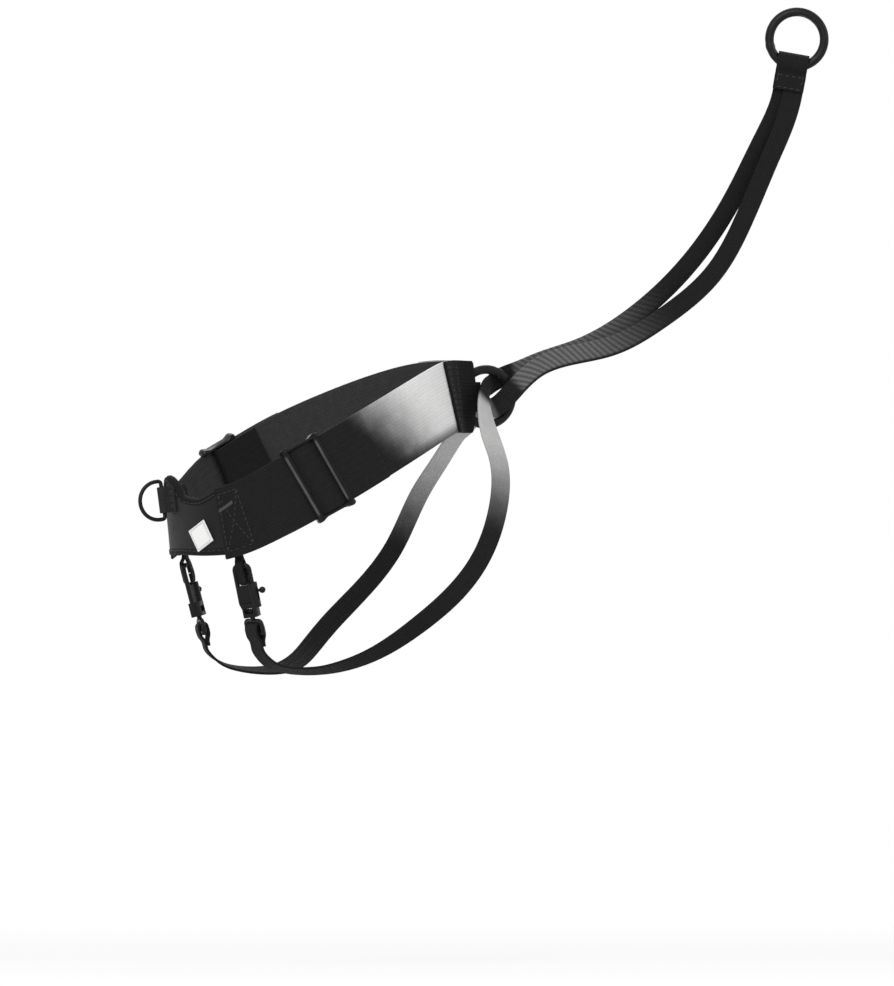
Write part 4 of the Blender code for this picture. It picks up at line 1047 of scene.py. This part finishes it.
def make_binding(cloth):
    """A tape folded over the yoke's edge and sewn down."""
    steps = 220
    half = steps // 2
    straight = [YOKE_REACH * math.sin(math.pi * (k / half - 0.5)) for k in range(half + 1)]
    outline = [Vector((s, yoke_span(s)[1])) for s in straight]
    outline += [Vector((s, yoke_span(s)[0])) for s in reversed(straight)]
    count = len(outline)
    ways = []
    for i, here in enumerate(outline):
        before, after = outline[i - 1], outline[(i + 1) % count]
        along = ((here - before).normalized() + (after - here).normalized()).normalized()
        ways.append(Vector((-along.y, along.x)))
    back = LINING_BACK
    section = [
        (-2.1, YOKE_FACE + 0.14 * MM), (-1.2, YOKE_FACE + 0.2 * MM), (-0.2, YOKE_FACE + 0.2 * MM),
        (0.6, YOKE_FACE - 0.05 * MM), (0.95, YOKE_FACE - 0.7 * MM), (1.05, (YOKE_FACE + back) / 2),
        (0.95, back + 0.7 * MM), (0.6, back + 0.05 * MM), (-0.2, back - 0.25 * MM),
        (-1.2, back - 0.3 * MM), (-2.1, back - 0.3 * MM),
    ]
    run = np.concatenate([[0], np.cumsum([(b - a).length for a, b in zip(outline, outline[1:] + outline[:1])])])

    def place(column, row):
        grow, level = section[row]
        s, v = outline[column % count] + ways[column % count] * (grow * MM)
        return NECK.at(s, v, level), (run[column], row * 0.9 * MM)

    tape = add_grid("chest_yoke_binding_tape", count, len(section) - 1, place)
    choose(tape)
    bpy.ops.object.mode_set(mode="EDIT")
    bpy.ops.mesh.select_all(action="SELECT")
    bpy.ops.mesh.remove_doubles(threshold=0.00001)
    bpy.ops.mesh.normals_make_consistent(inside=False)
    bpy.ops.object.mode_set(mode="OBJECT")
    tape.data.materials.append(webbing_finish("binding_tape", cloth))
    thicken(tape, 0.3 * MM, round_off=0.3)
    marks = []
    travelled = 0.0
    for i in range(count):
        here, after = outline[i], outline[(i + 1) % count]
        span = (after - here).length
        while travelled < span:
            spot = here.lerp(after, travelled / span) + ways[i] * (-1.3 * MM)
            further = spot + (after - here).normalized() * 0.2 * MM
            first, second = (NECK.at(p.x, p.y, YOKE_FACE + 0.36 * MM) for p in (spot, further))
            out = NECK.frame(abs(spot.x))[3]
            out = out if spot.x >= 0 else flip(out)
            marks.append((first, (second - first).normalized(), out))
            travelled += cloth.stitch_pitch
        travelled -= span
    sew(tape, marks, cloth, thread_finish(cloth, "binding_thread", 1.3))
    settle(tape, "harness", "webbing", "chest_yoke_binding")


def make_patch(cloth):
    """A small woven square with folded edges, sewn on all round."""
    place_mid, along, up, out = NECK.frame(PATCH_PLACE)
    centre = place_mid - up * PATCH_DROP
    a = along * math.cos(PATCH_TURN) + up * math.sin(PATCH_TURN)
    b = up * math.cos(PATCH_TURN) - along * math.sin(PATCH_TURN)
    cells = 36
    level = YOKE_FACE + GAP + PATCH_THICK * 0.5

    def place(column, row):
        x = (column / cells - 0.5) * PATCH_SIDE
        y = (row / cells - 0.5) * PATCH_SIDE
        rim = max(abs(x), abs(y)) / (PATCH_SIDE / 2)
        fold = 0.14 * MM * ease((rim - 0.72) / 0.08) - 0.1 * MM
        return centre + a * x + b * y + out * (level + fold), (x, y)

    patch = add_grid("chest_patch", cells, cells, place)
    patch.data.materials.append(patch_finish(cloth))
    thicken(patch, PATCH_THICK * 0.8, round_off=0.45)
    marks = []
    reach = PATCH_SIDE / 2 - 1.0 * MM
    top = level + PATCH_THICK * 0.4 + 0.05 * MM
    count = 5
    for k in range(count):
        t = -reach + 2 * reach * (k + 0.5) / count
        for x, y, way in ((t, reach, a), (t, -reach, a), (reach, t, b), (-reach, t, b)):
            marks.append((centre + a * x + b * y + out * top, way, out))
    finish = Finish("patch_thread", 0.6, Specular_IOR_Level=0.3)
    twist = finish.noise(finish.place(), 4200, 2)
    finish.colour(finish.mix(twist, shade(cloth.patch, 0.55), shade(cloth.patch, 0.8)))
    sew(patch, marks, cloth, finish.material)
    settle(patch, "harness", "patch", "badge_patch")


def make_ring_tab(cloth):
    """A tape over the chest ring's bar, its two wings sewn flat on the yoke."""
    radius = DEE_WIRE / 2 + GAP + TAPE_THICK / 2
    foot = YOKE_FACE + GAP + TAPE_THICK / 2
    heel = radius + TAPE_THICK
    wing = []
    for k in range(12):
        here = NECK.at(DEE_TAB_REACH - (DEE_TAB_REACH - heel) * k / 12, DEE_LEVEL, foot)
        wing.append(here - DEE_UP * (here - DEE_BAR).dot(DEE_UP))
    turn = NECK.at(0, DEE_LEVEL, foot) + DEE_FORWARD * TAPE_THICK + DEE_LEFT * heel
    wing += arc(turn, TAPE_THICK, 270, 180, 8, DEE_LEFT, DEE_FORWARD)
    over = arc(DEE_BAR, radius, 0, 180, 20, DEE_LEFT, DEE_FORWARD)
    line = wing + over + [flip(p) for p in reversed(wing)]
    strip = Strip([(p, DEE_UP, DEE_TAB_HEIGHT, None) for p in line])
    tab = strip.lay("chest_ring_tape", TAPE_THICK, [webbing_finish("ring_tape", cloth, base=shade(cloth.panel, 0.8))], cells=12)
    total = strip.run[-1]
    marks = []
    face = 1 if strip.stations[0][1].cross(strip.stations[0][2]).dot(DEE_FORWARD) > 0 else -1
    for d in (1.4 * MM, 3.4 * MM, total - 3.4 * MM, total - 1.4 * MM):
        marks += strip.row(d, TAPE_THICK, 1.2 * MM, cloth.stitch_pitch, face)
    sew(tab, marks, cloth, thread_finish(cloth, "tab_thread", 1.4))
    settle(tab, "harness", "webbing", "chest_ring_tab")


# Shoulder bands and withers sleeve

def band_strip(profile, side, spacing=1.5 * MM):
    """A strip on the neck loop along a profile of (distance along, distance out)."""
    route = Route([(s, h, 0) for s, h in profile], spline=firm)
    stations = []
    for d in route.stops(spacing):
        s, h, _ = route.point(d)
        place = NECK.at(s, 0, h)
        up = NECK.frame(s)[2]
        stations.append((place, up, BAND_SHOWN, None) if side > 0 else
                        (flip(place), -flip(up), BAND_SHOWN, None))
    return Strip(stations)


def make_band(cloth, name, side):
    s = SLIDER_PLACE
    near = BAR_STEP - SLIDER_BAR * 0.4
    far = BAR_STEP + SLIDER_BAR * 0.4
    edge = s + SLIDER_BAR * 0.5
    over = OVER_CORE + BAND_LAYER
    lower = band_strip([
        (BAND_START, 0), (s - BAR_STEP * 2.4, 0), (s - BAR_STEP * 1.8, BAND_LAYER * 0.5),
        (s - far, BAND_LAYER), (s - near, BAND_LAYER), (s - SLIDER_BAR * 0.7, over), (edge, over),
        (s + near, BAND_LAYER), (s + far, BAND_LAYER), (s + BAND_TAIL, BAND_LAYER),
    ], side)
    ahead = NECK.length - BAND_STOP - s - BAND_TAIL
    # The band's outer face carries the painted highlight near the withers.
    black = webbing_finish(f"{name}_band_webbing", cloth, fade=BAND_FADE, ahead=ahead)
    # The inner face carries painted light: drawn lighter than the black webbing.
    inner = webbing_finish(f"{name}_band_inside", cloth, base=cloth.inner)
    piece = lower.lay(f"{name}_lower_band_webbing", BAND_THICK, [black, inner], cells=18, side=side, from_end=True)
    level = BAND_THICK / 2 + 0.05 * MM
    reach = BAND_WIDTH / 2 - 3 * MM
    low, high = BAND_START + 2 * MM, YOKE_REACH - 1.5 * MM
    marks = neck_run([(low, reach), (high, reach), (high, -reach), (low, -reach), (low, reach)], level,
                     cloth.stitch_pitch, side)
    marks += neck_run([(low, reach), (high, -reach)], level, cloth.stitch_pitch, side)
    marks += neck_run([(low, -reach), (high, reach)], level, cloth.stitch_pitch, side)
    sew(piece, marks, cloth, thread_finish(cloth, f"{name}_band_thread", 1.0))
    tack = []
    for k in range(13):
        s0, v0 = BAND_START + (1.2 + 0.7 * k) * MM, (5.4 + 0.2 * k) * MM
        tack += neck_run([(s0, v0), (s0 + 0.3 * MM, v0 + 2 * MM)], level, 3 * MM, side)
    sew(piece, tack, cloth, thread_finish(cloth, f"{name}_tack_thread", 4.5))
    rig.replaces(piece, f"{name}_lower_band")
    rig.slot(piece, "webbing")
    turn = (lambda p: p) if side > 0 else flip
    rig.blend(piece, "harness", f"{name}_slider", turn(NECK.at(57 * MM)), turn(NECK.at(79 * MM)))

    rise = OVER_CORE - CORE_LEVEL
    core = Vector((s - SLIDER_BAR * 0.45, CORE_LEVEL, 0))
    fold = arc(core, rise, -90, -270, 8, Vector((1, 0, 0)), Vector((0, 1, 0)))
    upper = [(s + BAND_RETURN, -BAND_LAYER), (s + far, -BAND_LAYER), (edge, CORE_LEVEL - rise)]
    upper += [(p.x, p.y) for p in fold]
    upper += [(edge, OVER_CORE), (s + near, 0), (s + far, 0), (s + BAND_TAIL, 0), (NECK.length - BAND_STOP, 0)]
    # The upper band's outer face carries the painted highlight near the withers.
    faded = webbing_finish(f"{name}_band_faded", cloth, fade=BAND_FADE)
    strip = band_strip(upper, side)
    piece = strip.lay(f"{name}_upper_band_webbing", BAND_THICK, [faded, inner], cells=18, side=side, from_end=True)
    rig.replaces(piece, f"{name}_upper_band")
    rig.slot(piece, "webbing")
    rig.blend(piece, f"{name}_slider", "harness", turn(NECK.at(132 * MM)), turn(NECK.at(199 * MM)))


def make_sleeve(cloth):
    """Webbing folded round the withers ring and sewn over both bands."""
    up = Vector((0, 0, 1))
    back = Vector((1, 0, 0))
    side = Vector((0, 1, 0))
    count = 26
    legs = [NECK.length - SLEEVE_LENGTH * (1 - k / count) for k in range(count)]
    left = []
    for s in legs:
        width = BAND_SHOWN - (BAND_SHOWN - SLEEVE_NECK) * ease((s - NECK.length + 2.4 * MM) / (2.4 * MM))
        left.append((NECK.at(s, 0, BAND_LAYER), NECK.frame(s)[2], width, NECK.frame(s)[1]))
    fold = RING_WIRE / 2 + GAP + BAND_THICK / 2
    end = Vector((NECK_CLOSE[-1][0] * MM, -fold, 0))
    left.append((end, up, SLEEVE_NECK, back))
    bend = []
    for k in range(19):
        t = math.radians(-90 + 10 * k)
        place = Vector((end.x + 0.1 * MM, 0, 0)) + (back * math.cos(t) + side * math.sin(t)) * fold
        bend.append((place, up, SLEEVE_NECK, side * math.cos(t) - back * math.sin(t)))
    right = [(flip(place), flip(tall), width, -flip(way)) for place, tall, width, way in reversed(left)]
    strip = Strip(left + bend + right)
    # Painted shade: the sleeve is the same black webbing drawn at half its colour.
    sleeve = strip.lay("withers_sleeve_webbing", BAND_THICK, [webbing_finish("sleeve_webbing", cloth, base=shade(cloth.webbing, 0.5))], cells=18)
    total = strip.run[-1]
    marks = []
    for d in (1.6 * MM, 3.8 * MM, 11 * MM):
        marks += strip.row(d, BAND_THICK, 2 * MM, cloth.stitch_pitch)
        marks += strip.row(total - d, BAND_THICK, 2 * MM, cloth.stitch_pitch)
    sew(sleeve, marks, cloth, thread_finish(cloth, "sleeve_thread", 1.2))
    settle(sleeve, "harness", "webbing", "withers_sleeve")


# Straps

def strap_runs(name, side):
    """The leg strap and the lead strand of one side as strips, cut where they meet in the ring."""
    turn = (lambda p: p) if side > 0 else flip
    way = -side
    axes = SNAP_AXES.to_3x3()
    eye_bar = SNAP_AXES @ Vector((0, 0, EYE_BAR))
    down = -(axes @ Vector((0, 0, 1)))
    facing = -(axes @ Vector((math.cos(EYE_TURN), math.sin(EYE_TURN), 0)))
    radius = EYE_WIRE / 2 + LOOP_ROOM + STRAP_THICK / 2
    spread = STRAP_THICK / 2 + GAP / 2
    start = fold_round(eye_bar, down, facing, radius, spread, STRAP_TAIL * 0.75, STRAP_TAIL, -down * EYE_SLACK)
    fold = Route([turn(p) for p in start], spline=firm)
    bar_way = turn(facing).cross(turn(down))
    loop = [(fold.point(d), bar_way, STRAP_WIDTH, None) for d in fold.stops(1.2 * MM)[:-1]]
    route = [(turn(p), turn(facing)) for p in start[-2:]]
    route += [(turn(Vector(p) * MM), turn(Vector(f))) for p, f in LEG_ROUTE]
    route += [(Vector(p) * MM, Vector(f)) for p, f in CROSSINGS[name]]
    split = len(route) - 1
    route += [(Vector(p) * MM, Vector((0, way, 0))) for p in STRANDS[name]]
    for z in (-KEEPER_LENGTH - 3 * MM, (STRAND_STOP - KEEPER_LENGTH) / 2, STRAND_STOP):
        route.append((lead_at(way * KEEPER_SPLAY, -way * STRAND_DEPTH, z), LEAD_THROUGH * way))
    whole = Route([p for p, _ in route], [f.normalized() for _, f in route])
    middle = whole.knots[split]

    def stations(low, high):
        made = []
        for d in whole.stops(1.6 * MM, low, high):
            along = whole.tangent(d)
            made.append((whole.point(d), whole.facing(d).cross(along), STRAP_WIDTH, along))
        return made

    leg = Strip(loop + stations(whole.knots[1], middle + GAP / 2))
    strand = Strip(stations(middle - GAP / 2, whole.length))
    return leg, strand


def make_straps(cloth, name, side):
    leg, strand = strap_runs(name, side)
    # The leg strap carries the painted highlight near the withers, black at its end inside the ring, where it lies in
    # shade.
    faded = webbing_finish(f"{name}_leg_webbing", cloth, fade=(47 * MM, 112 * MM, 0, STRAP_DARK[name], 0.62, None))
    piece = leg.lay(f"{name}_leg_strap_webbing", STRAP_THICK, [faded], cells=8, side=side, from_end=True)
    marks = []
    for d in (2.4 * MM, 4.2 * MM):
        marks += leg.row(d, STRAP_THICK, 1.2 * MM, 2.4 * MM, 1)
        marks += leg.row(d, STRAP_THICK, 1.2 * MM, 2.4 * MM, -1)
    sew(piece, marks, cloth, thread_finish(cloth, f"{name}_leg_thread", 1.4))
    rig.replaces(piece, f"{name}_leg_strap")
    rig.slot(piece, "webbing")
    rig.ride(piece, "harness")
    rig.squash(piece, "lead_pull", axis=(0.65, 0, -0.76), anchor=(0, 0, 0), keep=0.78)

    # The lead strand carries a painted highlight: grey near the withers ring.
    worn = webbing_finish(f"{name}_strand_webbing", cloth, wear=(7 * MM, 12 * MM, 42 * MM, 106 * MM))
    piece = strand.lay(f"{name}_lead_strand_webbing", STRAP_THICK, [worn], cells=8, side=side)
    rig.replaces(piece, f"{name}_lead_strand")
    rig.slot(piece, "webbing")
    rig.blend(piece, "harness", "lead_end", start=(0.03, 0, 0.017), end=lead_at(0, 0, -KEEPER_LENGTH))


def make_keeper(cloth):
    """A tape folded round the lead ring and sewn over both strands."""
    tight = STRAND_DEPTH + STRAP_THICK / 2 + GAP + KEEPER_THICK / 2
    side = [lead_at(0, tight, z) for z in (-KEEPER_LENGTH, (STRAND_STOP - KEEPER_LENGTH) / 2, STRAND_STOP)]
    over = arc(lead_at(0, 0, LEAD_HINGE), LEAD_ROOM + KEEPER_THICK / 2, -25, 205, 14, LEAD_THROUGH, LEAD_RISE)
    other = [lead_at(0, -tight, z) for z in (STRAND_STOP, (STRAND_STOP - KEEPER_LENGTH) / 2, -KEEPER_LENGTH)]
    route = Route(side + over + other, spline=firm)
    strip = Strip([(route.point(d), LEAD_ACROSS, KEEPER_WIDTH, None) for d in route.stops(0.8 * MM)])
    keeper = strip.lay("lead_keeper_webbing", KEEPER_THICK, [webbing_finish("keeper_webbing", cloth)], cells=12)
    total = strip.run[-1]
    face = 1 if strip.stations[0][1].cross(strip.stations[0][2]).dot(LEAD_THROUGH) > 0 else -1
    marks = []
    for d in (1.4 * MM, 7 * MM):
        marks += strip.row(d, KEEPER_THICK, 1.4 * MM, cloth.stitch_pitch, face)
        marks += strip.row(total - d, KEEPER_THICK, 1.4 * MM, cloth.stitch_pitch, face)
    for share in (-0.8, 0.8):
        marks += strip.edge(2 * MM, 7 * MM, share, KEEPER_THICK, cloth.stitch_pitch, face)
        marks += strip.edge(total - 7 * MM, total - 2 * MM, share, KEEPER_THICK, cloth.stitch_pitch, face)
    sew(keeper, marks, cloth, thread_finish(cloth, "keeper_thread", 1.4))
    settle(keeper, "lead_end", "webbing", "lead_ring_keeper")


def make_clip_tab(cloth, name, side):
    """A narrow tape from the back of the yoke, with the snap's crown in its fold."""
    turn = (lambda p: p) if side > 0 else flip
    across = SNAP_AXES.to_3x3() @ Vector((1, 0, 0))
    _, along, up, out = NECK.frame(CLIP_PLACE)
    crown = SNAP_AXES @ Vector(((SNAP_SPINE + SNAP_GATE) / 2, 0, SNAP_CROWN))
    radius = SNAP_WIRE / 2 + LOOP_ROOM + TAPE_THICK / 2
    top = SNAP_HANG + CLIP_LEG
    sag = -SNAP_UP * CLIP_SLACK
    fold = Route(fold_round(crown, up, out, radius, (TAPE_THICK + GAP) / 2, top, top, sag), spline=firm)
    stations = []
    for d in fold.stops(0.8 * MM):
        place = fold.point(d)
        share = min(max(((place - crown).dot(up) - radius) / SNAP_HANG, 0), 1)
        wide = (across * (1 - share) + along * share).normalized()
        way = fold.tangent(d)
        way = (way - wide * way.dot(wide)).normalized()
        stations.append((turn(place), turn(wide), CLIP_WIDTH, turn(way)))
    strip = Strip(stations)
    tab = strip.lay(f"{name}_clip_tape", TAPE_THICK, [webbing_finish(f"{name}_clip_webbing", cloth)], cells=6)
    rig.replaces(tab, f"{name}_clip_tab")
    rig.slot(tab, "webbing")
    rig.blend(tab, "harness", f"{name}_snap", turn(crown + up * 9 * MM), turn(crown + up * 2 * MM))


# Metal and plastic

def make_ring(name, node, body, centre, across, rise, weld, finish):
    """A welded round ring: a torus with a slight swelling at its weld."""
    clear_choice()
    bpy.ops.mesh.primitive_torus_add(major_segments=120, minor_segments=28, major_radius=RING_RADIUS,
                                     minor_radius=RING_WIRE / 2)
    ring = bpy.context.object
    ring.name = ring.data.name = name
    for vertex in ring.data.vertices:
        turn = math.atan2(vertex.co.y, vertex.co.x)
        core = Vector((math.cos(turn), math.sin(turn), 0)) * RING_RADIUS
        apart = abs((turn - weld + math.pi) % (2 * math.pi) - math.pi) * RING_RADIUS
        swell = 1 + 0.07 * math.exp(-(apart / (1.1 * MM)) ** 2) - 0.05 * math.exp(-((apart - 2.1 * MM) / (0.5 * MM)) ** 2)
        vertex.co = core + (vertex.co - core) * swell
    axes = Matrix((across, rise, across.cross(rise))).transposed().to_4x4()
    ring.data.transform(Matrix.Translation(centre) @ axes)
    ring.data.materials.append(finish)
    bpy.ops.object.shade_smooth()
    settle(ring, body, "black_metal", node)


def make_chest_ring(finish):
    half = (DEE_HEIGHT - DEE_WIRE) / 2
    corner = DEE_WIRE * 0.75
    leg = max(DEE_REACH - DEE_WIRE / 2 - half, corner)
    points = arc(DEE_BAR + DEE_FORWARD * leg, half, -90, 90, 48, DEE_FORWARD, DEE_UP)
    points += arc(DEE_BAR + DEE_UP * (half - corner) + DEE_FORWARD * corner, corner, 90, 180, 10, DEE_FORWARD, DEE_UP)
    points += arc(DEE_BAR - DEE_UP * (half - corner) + DEE_FORWARD * corner, corner, 180, 270, 10, DEE_FORWARD, DEE_UP)
    dee = bend_wire("chest_dee", points, DEE_WIRE / 2, finish, closed=True)
    settle(dee, "chest_ring", "black_metal", "chest_ring")


# Operators

class HARNESS_OT_yoke(bpy.types.Operator):
    """Sew the chest yoke: panel, pad, binding, patch and ring tab"""
    bl_idname = "harness.sew_yoke"
    bl_label = "Chest yoke"

    def execute(self, context):
        cloth = context.scene.harness_cloth
        make_panel(cloth)
        make_lining(cloth)
        make_binding(cloth)
        make_patch(cloth)
        make_ring_tab(cloth)
        return {"FINISHED"}


class HARNESS_OT_bands(bpy.types.Operator):
    """Lay the shoulder bands and the withers sleeve"""
    bl_idname = "harness.lay_bands"
    bl_label = "Shoulder bands"

    def execute(self, context):
        cloth = context.scene.harness_cloth
        for name, side in SIDES.items():
            make_band(cloth, name, side)
        make_sleeve(cloth)
        return {"FINISHED"}


class HARNESS_OT_straps(bpy.types.Operator):
    """Lay the leg straps, the lead strands, the keeper and the clip tabs"""
    bl_idname = "harness.lay_straps"
    bl_label = "Straps"

    def execute(self, context):
        cloth = context.scene.harness_cloth
        for name, side in SIDES.items():
            make_straps(cloth, name, side)
            make_clip_tab(cloth, name, side)
        make_keeper(cloth)
        return {"FINISHED"}


class HARNESS_OT_rings(bpy.types.Operator):
    """Forge the withers ring, the lead ring and the chest ring"""
    bl_idname = "harness.forge_rings"
    bl_label = "Rings"

    def execute(self, context):
        metal = context.scene.harness_metal
        near, far = RING_RADIUS - RING_WIRE / 2, RING_RADIUS - RING_WIRE * 0.2
        origin, side = (0, 0, 0), (0, 1, 0)
        worn = metal_finish(metal, "withers_ring_metal", (origin, side, near, far))
        make_ring("withers_ring_metal", "withers_ring", "withers_ring", Vector(origin), Vector((1, 0, 0)),
                  Vector((0, 0, 1)), math.radians(60), worn)
        worn = metal_finish(metal, "lead_ring_metal", (tuple(LEAD_CENTRE), tuple(LEAD_THROUGH), near, far))
        make_ring("lead_ring_metal", "lead_ring", "lead_ring", LEAD_CENTRE, LEAD_ACROSS, LEAD_RISE,
                  math.radians(205), worn)
        make_chest_ring(metal_finish(metal, "chest_ring_metal"))
        return {"FINISHED"}


class HARNESS_OT_sliders(bpy.types.Operator):
    """Mould the two strap sliders"""
    bl_idname = "harness.mould_sliders"
    bl_label = "Sliders"

    def execute(self, context):
        metal = context.scene.harness_metal
        plastic = plastic_finish(metal)
        for name in SIDES:
            slider = refine(f"{name}_slider", f"{name}_slider_moulding", metal.slider_round, plastic)
            settle(slider, f"{name}_slider", "black_plastic", f"{name}_slider")
        return {"FINISHED"}


class HARNESS_OT_snaps(bpy.types.Operator):
    """Cast the two bolt snaps: hook, bolt, eye and spring"""
    bl_idname = "harness.cast_snaps"
    bl_label = "Bolt snaps"

    def execute(self, context):
        metal = context.scene.harness_metal
        cast = metal_finish(metal, "snap_metal")
        steel = steel_finish(metal)
        floor = SNAP_AXES @ Vector((SNAP_GATE, 0, SPRING_FOOT))
        for name, side in SIDES.items():
            turn = Vector if side > 0 else flip
            for part, body in (("hook", f"{name}_snap"), ("bolt", f"{name}_bolt"), ("eye", "harness")):
                piece = refine(f"{name}_snap_{part}", f"{name}_snap_{part}_casting", metal.round_off, cast, 42)
                settle(piece, body, "black_metal", f"{name}_snap_{part}")
            spring = refine(f"{name}_snap_spring", f"{name}_snap_spring_coil", 0, steel, 80)
            settle(spring, f"{name}_snap", "steel", f"{name}_snap_spring")
            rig.squash(spring, f"{name}_bolt_slide", axis=turn(SNAP_UP), anchor=turn(floor), keep=SPRING_SHUT)
        return {"FINISHED"}


class HARNESS_OT_stage(bpy.types.Operator):
    """Set the floor, the lights and the camera"""
    bl_idname = "harness.set_stage"
    bl_label = "Stage"

    def execute(self, context):
        stage = context.scene.harness_stage
        aim = Vector((-18.1, 7.3, -48)) * MM
        self.add_floor(stage)
        self.add_sky(context, stage)
        self.add_light("key", stage.key, 1.4, Vector((-1.1, -1.5, 1.3)), aim)
        self.add_light("fill", stage.fill, 1.6, Vector((1.6, -1.3, 0.5)), aim)
        self.add_light("rim", stage.rim, 1.2, Vector((0.5, 1.5, 1.6)), aim)
        self.add_light("front", stage.front, 0.4, Vector((-1.0, -2.3, 0.15)), aim)
        self.add_camera(context, stage, aim)
        context.scene.view_settings.view_transform = "Standard"
        return {"FINISHED"}

    def add_floor(self, stage):
        clear_choice()
        bpy.ops.mesh.primitive_plane_add(size=60, location=(0, 0, stage.floor_level))
        floor = bpy.context.object
        floor.name = "floor"
        bpy.ops.object.transform_apply(location=True)
        finish = Finish("floor_paper", 0.9, Specular_IOR_Level=0.1)
        fleck = finish.noise(finish.place(), 6, 2)
        finish.colour(finish.mix(fleck, shade(stage.floor, 0.99), shade(stage.floor, 1.01)))
        path = finish.node("ShaderNodeLightPath")
        seen = finish.sum("MAXIMUM", path.outputs["Is Camera Ray"],
                          finish.sum("MAXIMUM", path.outputs["Is Glossy Ray"], path.outputs["Is Transmission Ray"]))
        away = finish.node("ShaderNodeVectorMath", (0, finish.place()), operation="LENGTH").outputs["Value"]
        share = finish.sum("MULTIPLY", seen, finish.span(away, 0.4, 1.6, 0.72, 1))
        glow = finish.node("ShaderNodeEmission", (0, (1, 1, 1)), (1, 1.0))
        blend = finish.node("ShaderNodeMixShader", (0, share),
                            (1, finish.shader.outputs[0]), (2, glow.outputs[0]))
        output = finish.tree.nodes["Material Output"]
        finish.feed(output.inputs["Surface"], blend.outputs[0])
        floor.data.materials.append(finish.material)
        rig.stage(floor)

    def add_sky(self, context, stage):
        world = bpy.data.worlds.new("studio")
        context.scene.world = world
        world.use_nodes = True
        tree = world.node_tree
        back = tree.nodes["Background"]
        path = tree.nodes.new("ShaderNodeLightPath")
        seen = tree.nodes.new("ShaderNodeMath")
        seen.operation = "MAXIMUM"
        more = tree.nodes.new("ShaderNodeMath")
        more.operation = "MAXIMUM"
        tree.links.new(path.outputs["Is Camera Ray"], seen.inputs[0])
        tree.links.new(more.outputs[0], seen.inputs[1])
        tree.links.new(path.outputs["Is Glossy Ray"], more.inputs[0])
        tree.links.new(path.outputs["Is Transmission Ray"], more.inputs[1])
        level = tree.nodes.new("ShaderNodeMapRange")
        tree.links.new(seen.outputs[0], level.inputs[0])
        level.inputs[3].default_value = stage.sky
        level.inputs[4].default_value = 1.0
        back.inputs["Color"].default_value = (1, 1, 1, 1)
        tree.links.new(level.outputs[0], back.inputs["Strength"])

    def add_light(self, name, power, size, place, aim):
        clear_choice()
        bpy.ops.object.light_add(type="AREA", location=place)
        light = bpy.context.object
        light.name = name
        light.data.energy = power
        light.data.shape = "DISK"
        light.data.size = size
        light.rotation_euler = (aim - place).to_track_quat("-Z", "Y").to_euler()

    def add_camera(self, context, stage, aim):
        clear_choice()
        away = Vector((math.sin(stage.turn), -math.cos(stage.turn), 0))
        bpy.ops.object.camera_add(location=aim + away * stage.distance)
        camera = bpy.context.object
        camera.rotation_euler = (-away).to_track_quat("-Z", "Y").to_euler()
        camera.data.sensor_fit = "VERTICAL"
        camera.data.sensor_height = 36
        camera.data.lens = 36 * stage.distance / stage.view
        camera.data.clip_end = 200
        context.scene.camera = camera


class HARNESS_PT_panel(bpy.types.Panel):
    bl_idname = "HARNESS_PT_panel"
    bl_label = "Harness"
    bl_space_type = "VIEW_3D"
    bl_region_type = "UI"
    bl_category = "Harness"

    def draw(self, context):
        for operator in OPERATORS:
            self.layout.operator(operator.bl_idname)
        for group in (context.scene.harness_cloth, context.scene.harness_metal, context.scene.harness_stage):
            box = self.layout.box()
            for name in group.__annotations__:
                box.prop(group, name)


GROUPS = {"harness_cloth": HarnessCloth, "harness_metal": HarnessMetal, "harness_stage": HarnessStage}
OPERATORS = (HARNESS_OT_yoke, HARNESS_OT_bands, HARNESS_OT_straps, HARNESS_OT_rings, HARNESS_OT_sliders,
             HARNESS_OT_snaps, HARNESS_OT_stage)


def register():
    for item in (*GROUPS.values(), *OPERATORS, HARNESS_PT_panel):
        bpy.utils.register_class(item)
    for name, group in GROUPS.items():
        setattr(bpy.types.Scene, name, PointerProperty(type=group))


def unregister():
    for name in GROUPS:
        delattr(bpy.types.Scene, name)
    for item in (HARNESS_PT_panel, *reversed(OPERATORS), *GROUPS.values()):
        bpy.utils.unregister_class(item)


def main():
    register()
    bpy.ops.harness.sew_yoke()
    bpy.ops.harness.lay_bands()
    bpy.ops.harness.lay_straps()
    bpy.ops.harness.forge_rings()
    bpy.ops.harness.mould_sliders()
    bpy.ops.harness.cast_snaps()
    bpy.ops.harness.set_stage()
    sizes = {"cad": CAD_BOX, "visual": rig.bounds()}
    with open("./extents.json", "w") as file:
        json.dump({name: [list(corner) for corner in box] for name, box in sizes.items()}, file)


if __name__ == "__main__":
    main()
